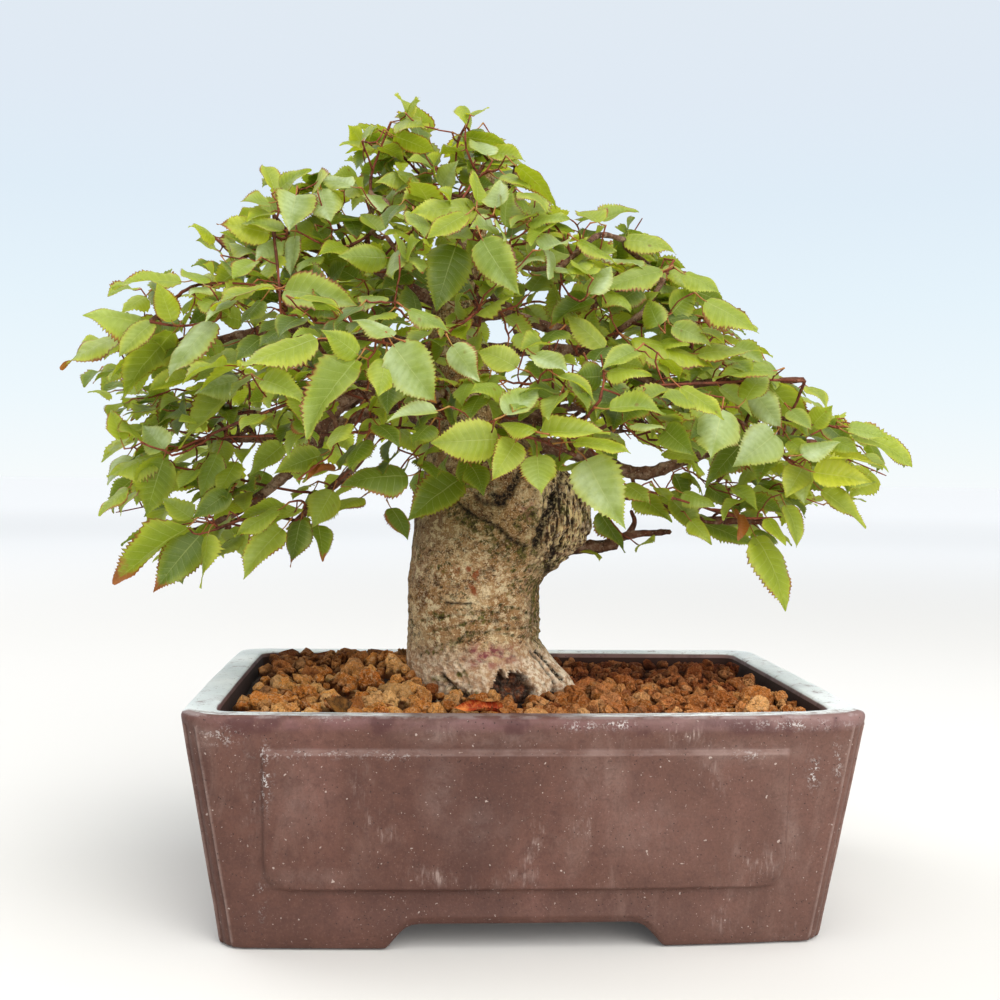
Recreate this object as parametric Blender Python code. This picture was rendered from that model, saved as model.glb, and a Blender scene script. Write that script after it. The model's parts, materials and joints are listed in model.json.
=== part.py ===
"""Korean hornbeam bonsai in a rectangular clay pot.

Metres, +Z up. The origin is the centre of the pot's footprint at the level of
its feet. +X runs along the pot's long side, +Y runs to the back.
"""

import math

import bmesh
import bpy
from mathutils import Vector, noise

MM = 0.001
GAP = 0.4 * MM  # clearance between neighbouring pieces

# Pot
RIM_HALF_X = 100 * MM
RIM_HALF_Y = 75 * MM
POT_HEIGHT = 71 * MM
TAPER = 10.5 * MM  # how far each side comes in from rim to foot
RIM_WIDTH = 10 * MM
LIP_HEIGHT = 3.6 * MM
LIP_OVERHANG = 0.9 * MM
RIM_CORNER = 7 * MM
INNER_CORNER = 5 * MM
CORNER_NOTCH = 3.0 * MM
FOOT_HEIGHT = 7.5 * MM
FOOT_WALL = 9 * MM
FLOOR_TOP = 14 * MM
WALL = 8 * MM
PANEL_HALF_X = 77 * MM
PANEL_HALF_Y = 51 * MM
PANEL_LOW = 18 * MM
PANEL_HIGH = 60.5 * MM
PANEL_PROUD = 0.9 * MM
GAP_HALF_LONG = 35 * MM  # half the gap between feet, long side
GAP_HALF_SHORT = 20 * MM
DRAIN_X = 46 * MM
DRAIN_RADIUS = 11 * MM

# Drain mesh and its wire
MESH_OPENINGS = 5
MESH_OPENING = 4.0 * MM
MESH_BAR = 1.6 * MM
MESH_THICK = 1.2 * MM
WIRE_RADIUS = 0.6 * MM

# Soil
SOIL_LEVEL = 66 * MM

# Trunk sections: height, left, right, front, back (mm from the origin)
TRUNK_SECTIONS = (
    (42, -22, -2, -12, 12),
    (52, -32, 8, -20, 20),
    (60, -38, 16, -25, 25),
    (66, -40, 20, -27, 26),
    (71, -39, 19, -26, 25),
    (77, -36.5, 14, -24, 24),
    (85, -36, 9, -22.5, 22),
    (94, -36, 8.8, -22, 21.5),
    (101, -36, 9, -22, 21.5),
    (107, -35.6, 12.5, -22.5, 22),
    (113, -35, 19, -23, 22.5),
    (118, -34.5, 24, -24, 23),
    (124, -33.6, 26, -25, 23.5),
    (131, -32.4, 25, -25, 23),
    (138, -31.2, 21, -24, 22),
    (144, -30.4, 14, -21, 20),
    (150, -29.5, 6, -17, 17),
    (158, -29, -1, -14, 14),
    (168, -29.5, -6, -11.5, 11.5),
    (180, -30, -11, -9.5, 9.5),
    (194, -29, -14.5, -7, 7.5),
    (208, -25, -13, -5, 6.5),
    (222, -20, -10.5, -4, 5.5),
    (236, -15.5, -8.5, -3, 4.5),
    (248, -12, -7, -2, 3.2),
)

# Main stems: base radius, tip radius, then the points they run through (mm)
STEMS = {
    "branch_left_low": [
        (4.6, 1.5, [(-20, -4, 152), (-29, -6, 156), (-39, -16, 165), (-51, -24, 167), (-63, -24, 157), (-67, -22, 147), (-77, -20, 138), (-90, -17, 128), (-108, -14, 119)]),
        (2.6, 1.3, [(-48, -23, 167), (-50, -23, 159), (-49, -22, 151), (-53, -20, 143), (-61, -16, 135), (-75, -9, 122)]),
    ],
    "branch_left_mid": [
        (3.8, 1.3, [(-22, 4, 166), (-31, 8, 166), (-46, 14, 163), (-62, 16, 157), (-82, 15, 152), (-102, 12, 151), (-121, 4, 146)]),
    ],
    "branch_left_high": [
        (3.6, 1.3, [(-24, -2, 180), (-33, -5, 182), (-56, -14, 187), (-81, -20, 186), (-103, -26, 180), (-124, -33, 176)]),
    ],
    "branch_top_left": [
        (3.2, 1.2, [(-22, 2, 196), (-30, 2, 200), (-47, 0, 209), (-63, -4, 214), (-79, -6, 216), (-93, -8, 211)]),
    ],
    "branch_front_left": [
        (3.4, 1.2, [(-22, -8, 160), (-26, -14, 164), (-37, -37, 169), (-47, -58, 172), (-57, -79, 171)]),
    ],
    "branch_front": [
        (4.2, 1.3, [(-12, -12, 143), (-10, -24, 148), (-8, -45, 157), (-3, -66, 157), (6, -86, 153)]),
    ],
    "branch_right_low": [
        (4.0, 1.3, [(12, 3, 130), (22, 4, 132), (35, 8, 135), (50, 8, 131), (66, 4, 125), (86, -2, 125)]),
    ],
    "branch_right_mid": [
        (4.4, 1.3, [(-4, 0, 150), (6, -1, 151), (22, -6, 147), (42, -10, 141), (58, -12, 146), (78, -14, 152), (104, -12, 152)]),
    ],
    "branch_right_high": [
        (3.6, 1.2, [(-20, 0, 180), (-10, -3, 182), (6, -10, 182), (27, -18, 180), (46, -23, 170), (64, -26, 171), (92, -29, 172)]),
    ],
    "branch_top_right": [
        (3.2, 1.2, [(-22, 2, 192), (-14, 2, 194), (-3, 2, 195), (15, 0, 190), (35, -4, 190), (43, -6, 195), (48, -6, 203), (53, -6, 214)]),
    ],
    "branch_back_left": [
        (4.2, 1.3, [(-24, 8, 156), (-30, 18, 160), (-50, 48, 168), (-70, 78, 172)]),
    ],
    "branch_back_right": [
        (4.2, 1.3, [(-10, 8, 152), (-5, 17, 156), (20, 50, 165), (46, 80, 170)]),
    ],
    "branch_back_high": [
        (3.2, 1.2, [(-22, 3, 196), (-24, 10, 201), (-22, 36, 214), (-17, 62, 222)]),
    ],
    "stub_right": [
        (3.4, 2.6, [(12, 3, 113), (20, 2, 115), (30, 3, 115.5), (36, 3.5, 116.5)]),
        (2.2, 1.1, [(33, 3.4, 116), (40, 2.5, 119.5), (48, 0, 120.5), (54, -2, 121)]),
        (1.6, 0.8, [(40, 2.5, 119.5), (42.5, 4, 124), (41.5, 5, 128)]),
    ],
}

# Leaf masses: centre, then half sizes (mm)
FOLIAGE = {
    "foliage_left_low": ((-96, -12, 120), (46, 40, 22)),
    "foliage_left_mid": ((-101, 6, 153), (47, 44, 24)),
    "foliage_left_high": ((-84, -22, 184), (52, 42, 26)),
    "foliage_top_left": ((-60, -2, 216), (44, 38, 27)),
    "foliage_front_left": ((-48, -64, 164), (42, 44, 30)),
    "foliage_front": ((10, -68, 154), (48, 40, 28)),
    "foliage_right_low": ((68, 0, 125), (44, 40, 27)),
    "foliage_right_mid": ((100, -6, 151), (49, 46, 26)),
    "foliage_right_high": ((66, -18, 182), (50, 44, 26)),
    "foliage_top_right": ((34, 4, 212), (44, 40, 28)),
    "foliage_apex": ((-22, 0, 243), (38, 38, 29)),
    "foliage_front_high": ((-10, -44, 202), (46, 38, 30)),
    "foliage_back_left": ((-64, 60, 162), (52, 49, 34)),
    "foliage_back_right": ((42, 62, 160), (56, 48, 34)),
    "foliage_back_high": ((-12, 44, 208), (50, 44, 33)),
}


def clear_scene():
    for obj in list(bpy.data.objects):
        bpy.data.objects.remove(obj, do_unlink=True)


def material(name, colour, roughness, metallic=0.0):
    mat = bpy.data.materials.new(name)
    mat.use_nodes = True
    shader = mat.node_tree.nodes["Principled BSDF"]
    shader.inputs["Base Color"].default_value = (*colour, 1.0)
    shader.inputs["Roughness"].default_value = roughness
    shader.inputs["Metallic"].default_value = metallic
    mat.diffuse_color = (*colour, 1.0)
    return mat


def object_from(name, bm, mat=None, smooth=None):
    bmesh.ops.recalc_face_normals(bm, faces=bm.faces)
    mesh = bpy.data.meshes.new(name)
    bm.to_mesh(mesh)
    bm.free()
    if smooth is not None:
        mesh.shade_smooth()
        mesh.set_sharp_from_angle(angle=math.radians(smooth))
    obj = bpy.data.objects.new(name, mesh)
    bpy.context.scene.collection.objects.link(obj)
    if mat:
        mesh.materials.append(mat)
    return obj


def loft(loops, close_first=True, close_last=True):
    """A skin over loops of equally many points, each end closed by a face."""
    bm = bmesh.new()
    rings = [[bm.verts.new(point) for point in loop] for loop in loops]
    for low, high in zip(rings, rings[1:]):
        count = len(low)
        for i in range(count):
            j = (i + 1) % count
            bm.faces.new((low[i], low[j], high[j], high[i]))
    if close_first:
        bm.faces.new(list(reversed(rings[0])))
    if close_last:
        bm.faces.new(rings[-1])
    return bm


def smooth_path(points, per_span=3):
    """Points along the smooth curve through the given ones."""
    pts = [Vector(p) for p in points]
    pts = [2 * pts[0] - pts[1]] + pts + [2 * pts[-1] - pts[-2]]
    path = []
    for a, b, c, d in zip(pts, pts[1:], pts[2:], pts[3:]):
        for k in range(per_span):
            t = k / per_span
            path.append(
                0.5 * (2 * b + (c - a) * t + (2 * a - 5 * b + 4 * c - d) * t * t + (3 * b - a - 3 * c + d) * t**3)
            )
    path.append(pts[-2])
    return path


def tube(points, start_radius, end_radius, sides=8):
    """A closed tapering tube along the points, with rounded-off ends."""
    loops = []
    tangent = (points[1] - points[0]).normalized()
    side = tangent.orthogonal().normalized()
    last = len(points) - 1
    for i, point in enumerate(points):
        ahead = points[min(i + 1, last)] - points[max(i - 1, 0)]
        tangent = ahead.normalized()
        side = (side - tangent * side.dot(tangent)).normalized()
        other = tangent.cross(side)
        radius = start_radius + (end_radius - start_radius) * i / last
        loops.append(
            [
                point + (side * math.cos(a) + other * math.sin(a)) * radius
                for a in (2 * math.pi * k / sides for k in range(sides))
            ]
        )
    return loft(loops)


def boolean(obj, other, operation):
    """Applies one Boolean to the object and removes the other one."""
    modifier = obj.modifiers.new(operation.title(), "BOOLEAN")
    modifier.operation = operation
    modifier.solver = "EXACT"
    modifier.object = other
    other.hide_render = True
    other.display_type = "WIRE"
    graph = bpy.context.evaluated_depsgraph_get()
    graph.update()
    mesh = bpy.data.meshes.new_from_object(obj.evaluated_get(graph))
    obj.modifiers.clear()
    old = obj.data
    mesh.name = old.name
    obj.data = mesh
    bpy.data.meshes.remove(old)
    bpy.data.objects.remove(other, do_unlink=True)
    return obj


def keep_largest(obj):
    """Drops the chips that a cut leaves beside the main body."""
    bm = bmesh.new()
    bm.from_mesh(obj.data)
    bmesh.ops.remove_doubles(bm, verts=bm.verts, dist=1e-6)
    left, islands = set(bm.verts), []
    while left:
        stack, island = [left.pop()], set()
        while stack:
            vert = stack.pop()
            island.add(vert)
            for edge in vert.link_edges:
                other = edge.other_vert(vert)
                if other in left:
                    left.remove(other)
                    stack.append(other)
        islands.append(island)
    if len(islands) > 1:
        islands.sort(key=len)
        spare = [v for island in islands[:-1] for v in island]
        bmesh.ops.delete(bm, geom=spare, context="VERTS")
    bm.to_mesh(obj.data)
    bm.free()


def box(low, high):
    bm = bmesh.new()
    bmesh.ops.create_cube(bm, size=1.0)
    for v in bm.verts:
        v.co = Vector([(low[i] + high[i]) / 2 + v.co[i] * (high[i] - low[i]) for i in range(3)])
    return object_from("cutter", bm)


# ---------------------------------------------------------------- pot


def plan_loop(half_x, half_y, z, kind, size):
    """An outline seen from above, seven points to a corner, counter-clockwise.
    A corner is either an arc of the given radius or a square notch of that depth."""
    a, b, n = half_x, half_y, size
    if kind == "arc":
        corner = [
            (a - n + n * math.cos(t), b - n + n * math.sin(t))
            for t in (math.pi / 12 * k for k in range(7))
        ]
    else:
        corner = [
            (a, b - n - 0.5 * MM),
            (a - 0.3 * MM, b - n),
            (a - 0.7 * n, b - n),
            (a - n, b - n),
            (a - n, b - 0.7 * n),
            (a - n, b - 0.3 * MM),
            (a - n - 0.5 * MM, b),
        ]
    loop = [(x, y, z) for x, y in corner]
    loop += [(-x, y, z) for x, y in reversed(corner)]
    loop += [(-x, -y, z) for x, y in corner]
    loop += [(x, -y, z) for x, y in reversed(corner)]
    return loop


def outer_inset(z):
    """How far the body's outer face stands in from the rim at a height."""
    return LIP_OVERHANG + (TAPER - LIP_OVERHANG) * (POT_HEIGHT - LIP_HEIGHT - z) / (POT_HEIGHT - LIP_HEIGHT)


def wall_inset(z):
    """How far the inner face stands in from the rim at a height."""
    top, low = RIM_WIDTH, outer_inset(FLOOR_TOP) + WALL
    return top + (low - top) * (POT_HEIGHT - z) / (POT_HEIGHT - FLOOR_TOP)


def side_loop(z, inset, kind, size):
    return plan_loop(RIM_HALF_X - inset, RIM_HALF_Y - inset, z, kind, size)


def foot_gap_profile(half):
    """The arch between two feet: flat on top, curving out and down to each foot."""
    rise = [(6.5, -2.0), (6.0, 0.0), (5.4, 1.3), (4.0, 3.6), (2.8, 5.4), (1.4, 6.7), (0.0, 7.5)]
    left = [(-(half + x * MM), z * MM) for x, z in rise]
    return left + [(-x, z) for x, z in reversed(left)]


def panel(half_width, along_x, sign):
    """A raised slab on one side, with square upper corners and rounded lower ones."""
    outline = []
    for cx, cz, r, start in (
        (half_width - 8 * MM, PANEL_LOW + 8 * MM, 8 * MM, -90),
        (half_width - 2 * MM, PANEL_HIGH - 2 * MM, 2 * MM, 0),
        (-half_width + 2 * MM, PANEL_HIGH - 2 * MM, 2 * MM, 90),
        (-half_width + 8 * MM, PANEL_LOW + 8 * MM, 8 * MM, 180),
    ):
        for k in range(5):
            t = math.radians(start + 22.5 * k)
            outline.append((cx + r * math.cos(t), cz + r * math.sin(t)))
    loops = []
    for depth, grow in ((-2.0 * MM, 0.4 * MM), (0.0, 0.4 * MM), (PANEL_PROUD, -0.3 * MM)):
        loop = []
        for s, z in outline:
            s2 = s + math.copysign(grow, s)
            z2 = z + (grow if z > (PANEL_LOW + PANEL_HIGH) / 2 else -grow)
            half = (RIM_HALF_Y if along_x else RIM_HALF_X) - outer_inset(z2) + depth
            loop.append((s2, sign * half, z2) if along_x else (sign * half, s2, z2))
        loops.append(loop)
    return object_from("panel", loft(loops))


def make_pot(mat):
    low = outer_inset(0.0)
    top = POT_HEIGHT
    floor_in = wall_inset(FLOOR_TOP)
    loops = [
        side_loop(0.0, low + 1.2 * MM, "notch", CORNER_NOTCH),
        side_loop(1.5 * MM, outer_inset(1.5 * MM), "notch", CORNER_NOTCH),
        side_loop(top - LIP_HEIGHT - 0.5 * MM, outer_inset(top - LIP_HEIGHT - 0.5 * MM), "notch", CORNER_NOTCH),
        side_loop(top - LIP_HEIGHT, LIP_OVERHANG * 0.7, "arc", RIM_CORNER),
        side_loop(top - 2.4 * MM, 0.1 * MM, "arc", RIM_CORNER),
        side_loop(top - 1.1 * MM, 0.0, "arc", RIM_CORNER),
        side_loop(top - 0.3 * MM, 0.4 * MM, "arc", RIM_CORNER),
        side_loop(top, 1.3 * MM, "arc", RIM_CORNER - 1 * MM),
        side_loop(top, RIM_WIDTH - 0.8 * MM, "arc", INNER_CORNER),
        side_loop(top - 0.8 * MM, RIM_WIDTH, "arc", INNER_CORNER),
        side_loop(FLOOR_TOP + 2 * MM, floor_in, "arc", INNER_CORNER),
        side_loop(FLOOR_TOP, floor_in + 2 * MM, "arc", INNER_CORNER),
    ]
    pot = object_from("pot", loft(loops), mat)
    for along_x, half in ((True, PANEL_HALF_X), (False, PANEL_HALF_Y)):
        for sign in (-1, 1):
            boolean(pot, panel(half, along_x, sign), "UNION")
    # The hollow under the floor, inside the feet
    in_x = RIM_HALF_X - low - FOOT_WALL
    in_y = RIM_HALF_Y - low - FOOT_WALL
    boolean(pot, box((-in_x, -in_y, -3 * MM), (in_x, in_y, FOOT_HEIGHT + 0.4 * MM)), "DIFFERENCE")
    # The arches between the feet
    for half, along_y in ((GAP_HALF_LONG, True), (GAP_HALF_SHORT, False)):
        profile = foot_gap_profile(half)
        reach = 110 * MM
        loops = []
        for end in (-reach, reach):
            loops.append([(s, end, z) if along_y else (end, s, z) for s, z in profile])
        boolean(pot, object_from("arch", loft(loops)), "DIFFERENCE")
    for sign in (-1, 1):
        bm = bmesh.new()
        bmesh.ops.create_cone(bm, cap_ends=True, segments=24, radius1=DRAIN_RADIUS, radius2=DRAIN_RADIUS, depth=30 * MM)
        hole = object_from("hole", bm)
        hole.location = (sign * DRAIN_X, 0, FLOOR_TOP)
        boolean(pot, hole, "DIFFERENCE")
    pot.data.materials.clear()
    pot.data.materials.append(mat)
    pot.data.shade_smooth()
    pot.data.set_sharp_from_angle(angle=math.radians(30))
    return pot


# ---------------------------------------------------------------- drain pieces


def make_drain_mesh(name, x, mat):
    """A square of open plastic mesh: a flat grid of cells with every other one left out."""
    cuts = [0.0]
    for i in range(2 * MESH_OPENINGS + 1):
        cuts.append(cuts[-1] + (MESH_BAR if i % 2 == 0 else MESH_OPENING))
    size = cuts[-1]
    cuts = [c - size / 2 for c in cuts]
    bm = bmesh.new()
    verts = [[bm.verts.new((u, v, 0)) for v in cuts] for u in cuts]
    for i in range(len(cuts) - 1):
        for j in range(len(cuts) - 1):
            if i % 2 and j % 2:
                continue
            bm.faces.new((verts[i][j], verts[i + 1][j], verts[i + 1][j + 1], verts[i][j + 1]))
    made = bmesh.ops.extrude_face_region(bm, geom=list(bm.faces))
    up = [g for g in made["geom"] if isinstance(g, bmesh.types.BMVert)]
    bmesh.ops.translate(bm, verts=up, vec=(0, 0, MESH_THICK))
    obj = object_from(name, bm, mat)
    obj.location = (x, 0, FLOOR_TOP + 0.3 * MM)
    return obj


def make_mesh_wire(name, x, mat):
    """A staple: a bar over the mesh, two legs down the drain hole, ends turned out under the floor."""
    leg = MESH_OPENING + MESH_BAR
    high = FLOOR_TOP + 0.3 * MM + MESH_THICK + 0.3 * MM + WIRE_RADIUS
    low = FOOT_HEIGHT + 0.4 * MM - 0.4 * MM - WIRE_RADIUS - 0.6 * MM
    turn = 1.2 * MM
    half = [(0, high), (leg - turn, high), (leg - 0.35 * turn, high - 0.35 * turn), (leg, high - turn), (leg, low + turn), (leg + 0.35 * turn, low + 0.35 * turn), (leg + turn, low), (16 * MM, low)]
    points = [(0, -s, z) for s, z in reversed(half[1:])] + [(0, s, z) for s, z in half]
    curve = bpy.data.curves.new(name, "CURVE")
    curve.dimensions = "3D"
    curve.bevel_depth = WIRE_RADIUS
    curve.bevel_resolution = 1
    curve.use_fill_caps = True
    spline = curve.splines.new("POLY")
    spline.points.add(len(points) - 1)
    for place, point in zip(spline.points, points):
        place.co = (*point, 1.0)
    curve.materials.append(mat)
    obj = bpy.data.objects.new(name, curve)
    obj.location = (x, 0, 0)
    bpy.context.scene.collection.objects.link(obj)
    return obj


# ---------------------------------------------------------------- wood


def trunk_loops(grow=0.0, sides=20):
    loops = []
    for n, (z, left, right, front, back) in enumerate(TRUNK_SECTIONS):
        cx, cy = (left + right) / 2, (front + back) / 2
        rx, ry = (right - left) / 2, (back - front) / 2
        flare = max(0.0, 1 - abs(z - 68) / 12)
        loop = []
        for k in range(sides):
            t = 2 * math.pi * k / sides
            ripple = 1 + 0.045 * flare * math.cos(5 * t + 0.6) + 0.018 * noise.noise((3 * math.cos(t), 3 * math.sin(t), z * 0.05))
            x = cx + rx * ripple * math.cos(t)
            y = cy + ry * ripple * math.sin(t)
            out = Vector((math.cos(t), math.sin(t), 0))
            p = Vector((x, y, z)) * MM + out * grow
            if n == 0:
                p.z -= grow
            if n == len(TRUNK_SECTIONS) - 1:
                p.z += grow
            loop.append(p)
        loops.append(loop)
    return loops


def make_trunk(mat):
    return object_from("trunk", loft(trunk_loops()), mat, 50)


def trunk_cutter():
    return object_from("cutter", loft(trunk_loops(GAP)))


def stem_tube(run, grow=0.0, sides=8):
    start, end, points = run
    path = smooth_path([Vector(p) * MM for p in points], 2)
    if grow:
        path[0] = path[0] + (path[0] - path[1]).normalized() * grow
        path[-1] = path[-1] + (path[-1] - path[-2]).normalized() * grow
    return object_from("tube", tube(path, start * MM + grow, end * MM + grow, sides))


def joined_stem(runs, grow=0.0):
    """A stem with its forks as one piece of wood."""
    stem = stem_tube(runs[0], grow)
    for run in runs[1:]:
        boolean(stem, stem_tube(run, grow), "UNION")
    return stem


def make_stem(name, runs, mat):
    stem = joined_stem(runs)
    boolean(stem, trunk_cutter(), "DIFFERENCE")
    keep_largest(stem)
    stem.name = stem.data.name = name
    stem.data.materials.clear()
    stem.data.materials.append(mat)
    stem.data.shade_smooth()
    stem.data.set_sharp_from_angle(angle=math.radians(50))
    return stem


# ---------------------------------------------------------------- leaves


def leaf_mass(name, mat):
    """A lobed mound, cut off flat where it meets each neighbouring mass."""
    centre, half = FOLIAGE[name]
    centre = Vector(centre)
    bm = bmesh.new()
    bmesh.ops.create_icosphere(bm, subdivisions=3, radius=1.0)
    for v in bm.verts:
        d = v.co.normalized()
        lump = 1 - 0.05 * (1 + noise.noise(d * 2.3 + centre * 0.05))
        v.co = Vector([centre[i] + d[i] * half[i] * lump for i in range(3)]) * MM
    keep = GAP + 0.3 * MM
    for other, (c2, h2) in FOLIAGE.items():
        if other == name:
            continue
        c2 = Vector(c2)
        way = c2 - centre
        dist = way.length
        unit = way / dist
        r1 = math.sqrt(sum((unit[i] * half[i]) ** 2 for i in range(3)))
        r2 = math.sqrt(sum((unit[i] * h2[i]) ** 2 for i in range(3)))
        if dist > 1.6 * (r1 + r2):
            continue
        share = r1 / (r1 + r2)
        point = (centre + way * share) * MM - unit * keep
        cut = bmesh.ops.bisect_plane(
            bm, geom=list(bm.verts) + list(bm.edges) + list(bm.faces), dist=1e-7,
            plane_co=point, plane_no=unit, clear_outer=True,
        )
        rim = [g for g in cut["geom_cut"] if isinstance(g, bmesh.types.BMEdge) and g.is_boundary]
        if rim:
            bmesh.ops.holes_fill(bm, edges=rim, sides=0)
    bmesh.ops.dissolve_limit(bm, angle_limit=math.radians(7), verts=bm.verts, edges=bm.edges)
    bmesh.ops.triangulate(bm, faces=bm.faces)
    return object_from(name, bm, mat)


def near(obj, cutter):
    """Whether two objects' boxes meet."""
    a = [v.co for v in obj.data.vertices]
    b = [v.co for v in cutter.data.vertices]
    for i in range(3):
        if max(p[i] for p in a) < min(p[i] for p in b) or max(p[i] for p in b) < min(p[i] for p in a):
            return False
    return True


def make_foliage(mat):
    for name in FOLIAGE:
        mass = leaf_mass(name, mat)
        cutters = [lambda: trunk_cutter()]
        cutters += [lambda runs=runs: joined_stem(runs, GAP) for runs in STEMS.values()]
        for cutter in cutters:
            tool = cutter()
            if near(mass, tool):
                boolean(mass, tool, "DIFFERENCE")
            else:
                bpy.data.objects.remove(tool, do_unlink=True)
        keep_largest(mass)
        mass.data.materials.clear()
        mass.data.materials.append(mat)
        mass.data.shade_smooth()
        mass.data.set_sharp_from_angle(angle=math.radians(35))


# ---------------------------------------------------------------- soil


def soil_height(x, y):
    """The soil lies a little below the rim and rises towards the trunk and to the left."""
    near_trunk = math.exp(-(((x + 14 * MM) / (42 * MM)) ** 2 + (y / (34 * MM)) ** 2))
    lean = 1.6 * MM * math.tanh(-(x + 10 * MM) / (40 * MM))
    bumps = 0.9 * MM * noise.noise(Vector((x, y, 0)) * 130)
    return SOIL_LEVEL + 3.6 * MM * near_trunk + lean + bumps


def make_soil(mat):
    def inner(z, inset):
        return side_loop(z, wall_inset(z) + GAP + inset, "arc", INNER_CORNER)

    loops = [
        inner(FLOOR_TOP + GAP, 2.4 * MM),
        inner(FLOOR_TOP + 2.6 * MM, 0.0),
        inner(SOIL_LEVEL - 6 * MM, 0.0),
    ]
    edge = inner(SOIL_LEVEL - 2 * MM, 0.0)
    loops.append([(x, y, soil_height(x, y) - 1.5 * MM) for x, y, z in edge])
    for factor in (0.95, 0.86, 0.74, 0.6, 0.46, 0.3, 0.14):
        loops.append([(x * factor, y * factor, soil_height(x * factor, y * factor)) for x, y, z in edge])
    soil = object_from("soil_bed", loft(loops), mat)
    boolean(soil, trunk_cutter(), "DIFFERENCE")
    reach = (MESH_OPENINGS * MESH_OPENING + (MESH_OPENINGS + 1) * MESH_BAR) / 2 + 0.5 * MM
    high = FLOOR_TOP + 0.3 * MM + MESH_THICK + 0.3 * MM + 2 * WIRE_RADIUS + 0.4 * MM
    for sign in (-1, 1):
        x = sign * DRAIN_X
        boolean(soil, box((x - reach, -reach, FLOOR_TOP - 2 * MM), (x + reach, reach, high)), "DIFFERENCE")
    keep_largest(soil)
    soil.data.materials.clear()
    soil.data.materials.append(mat)
    return soil


def make_fallen_leaf(name, x, y, turn, length, curl, mat):
    """A dead leaf on the soil: a thin pointed oval, folded along its midrib."""
    rows = 7
    bm = bmesh.new()
    thick = 0.5 * MM
    sheets = []
    for dz in (0.0, thick):
        sheet = []
        for i in range(rows + 1):
            s = i / rows
            half = 0.30 * length * math.sin(math.pi * (0.06 + 0.9 * s)) ** 0.8
            row = []
            for k in (-1, -0.5, 0, 0.5, 1):
                u = s * length - length / 2
                v = k * half
                z = abs(k) * half * curl + 0.1 * length * (s - 0.5) ** 2 * 4 * curl
                row.append(bm.verts.new((u, v, z + dz)))
            sheet.append(row)
        sheets.append(sheet)
    low, high = sheets
    for i in range(rows):
        for k in range(4):
            bm.faces.new((low[i][k], low[i][k + 1], low[i + 1][k + 1], low[i + 1][k]))
            bm.faces.new((high[i][k], high[i + 1][k], high[i + 1][k + 1], high[i][k + 1]))
    for i in range(rows):
        for k in (0, 4):
            bm.faces.new((low[i][k], low[i + 1][k], high[i + 1][k], high[i][k]))
    for k in range(4):
        for i in (0, rows):
            bm.faces.new((low[i][k], low[i][k + 1], high[i][k + 1], high[i][k]))
    obj = object_from(name, bm, mat, 40)
    # It lies just clear of the highest grain under it
    cos, sin = math.cos(turn), math.sin(turn)
    lift = 0.0
    for v in obj.data.vertices:
        wx, wy = x + v.co.x * cos - v.co.y * sin, y + v.co.x * sin + v.co.y * cos
        lift = max(lift, soil_height(wx, wy) - v.co.z)
    obj.rotation_euler = (0, 0, turn)
    obj.location = (x, y, lift + 0.9 * MM)
    return obj


# ---------------------------------------------------------------- all of it


def main():
    clear_scene()
    clay = material("pot_clay", (0.175, 0.092, 0.075), 0.62)
    grains = material("soil_grains", (0.32, 0.15, 0.062), 0.95)
    bark = material("trunk_bark", (0.42, 0.34, 0.26), 0.85)
    twig = material("stem_bark", (0.22, 0.13, 0.09), 0.75)
    leaf = material("leaf_green", (0.16, 0.30, 0.035), 0.45)
    dead = material("leaf_dead", (0.16, 0.08, 0.035), 0.7)
    plastic = material("mesh_plastic", (0.02, 0.02, 0.02), 0.5)
    wire = material("wire_aluminium", (0.45, 0.42, 0.40), 0.35, 1.0)

    make_pot(clay)
    for side, x in (("left", -DRAIN_X), ("right", DRAIN_X)):
        make_drain_mesh("drain_mesh_" + side, x, plastic)
        make_mesh_wire("mesh_wire_" + side, x, wire)
    make_soil(grains)
    make_trunk(bark)
    for name, runs in STEMS.items():
        make_stem(name, runs, twig)
    make_foliage(leaf)
    make_fallen_leaf("fallen_leaf_brown", -57 * MM, -52 * MM, math.radians(12), 15 * MM, 0.35, dead)
    make_fallen_leaf("fallen_leaf_curled", -18 * MM, -53 * MM, math.radians(-8), 13 * MM, 0.5, dead)


main()
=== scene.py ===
"""The looks of a korean hornbeam bonsai in a rectangular clay pot.

Metres, +Z up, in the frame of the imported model. The tables below are in
millimetres unless they say otherwise.
"""
import json
import math

import bmesh
import bpy
import numpy as np
from mathutils import Matrix, Vector

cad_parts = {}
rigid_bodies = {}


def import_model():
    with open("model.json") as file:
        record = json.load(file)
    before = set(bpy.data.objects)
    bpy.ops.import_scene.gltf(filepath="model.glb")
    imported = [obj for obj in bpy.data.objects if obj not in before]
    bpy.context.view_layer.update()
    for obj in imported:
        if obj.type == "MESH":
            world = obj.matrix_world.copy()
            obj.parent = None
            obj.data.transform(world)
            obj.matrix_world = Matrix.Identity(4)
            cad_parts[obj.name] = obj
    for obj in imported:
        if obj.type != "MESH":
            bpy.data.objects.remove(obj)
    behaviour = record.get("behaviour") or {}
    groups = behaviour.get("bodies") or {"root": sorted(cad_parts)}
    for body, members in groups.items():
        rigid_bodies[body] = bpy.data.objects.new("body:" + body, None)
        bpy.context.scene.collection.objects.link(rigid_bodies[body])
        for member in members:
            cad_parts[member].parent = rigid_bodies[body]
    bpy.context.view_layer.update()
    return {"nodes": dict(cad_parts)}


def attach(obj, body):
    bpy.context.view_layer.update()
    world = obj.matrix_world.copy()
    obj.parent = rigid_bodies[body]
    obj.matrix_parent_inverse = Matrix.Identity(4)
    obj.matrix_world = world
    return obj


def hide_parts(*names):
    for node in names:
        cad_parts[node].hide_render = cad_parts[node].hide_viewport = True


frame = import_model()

MM = 0.001
BODY = "root"

# ------------------------------------------------------------------ camera

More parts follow.
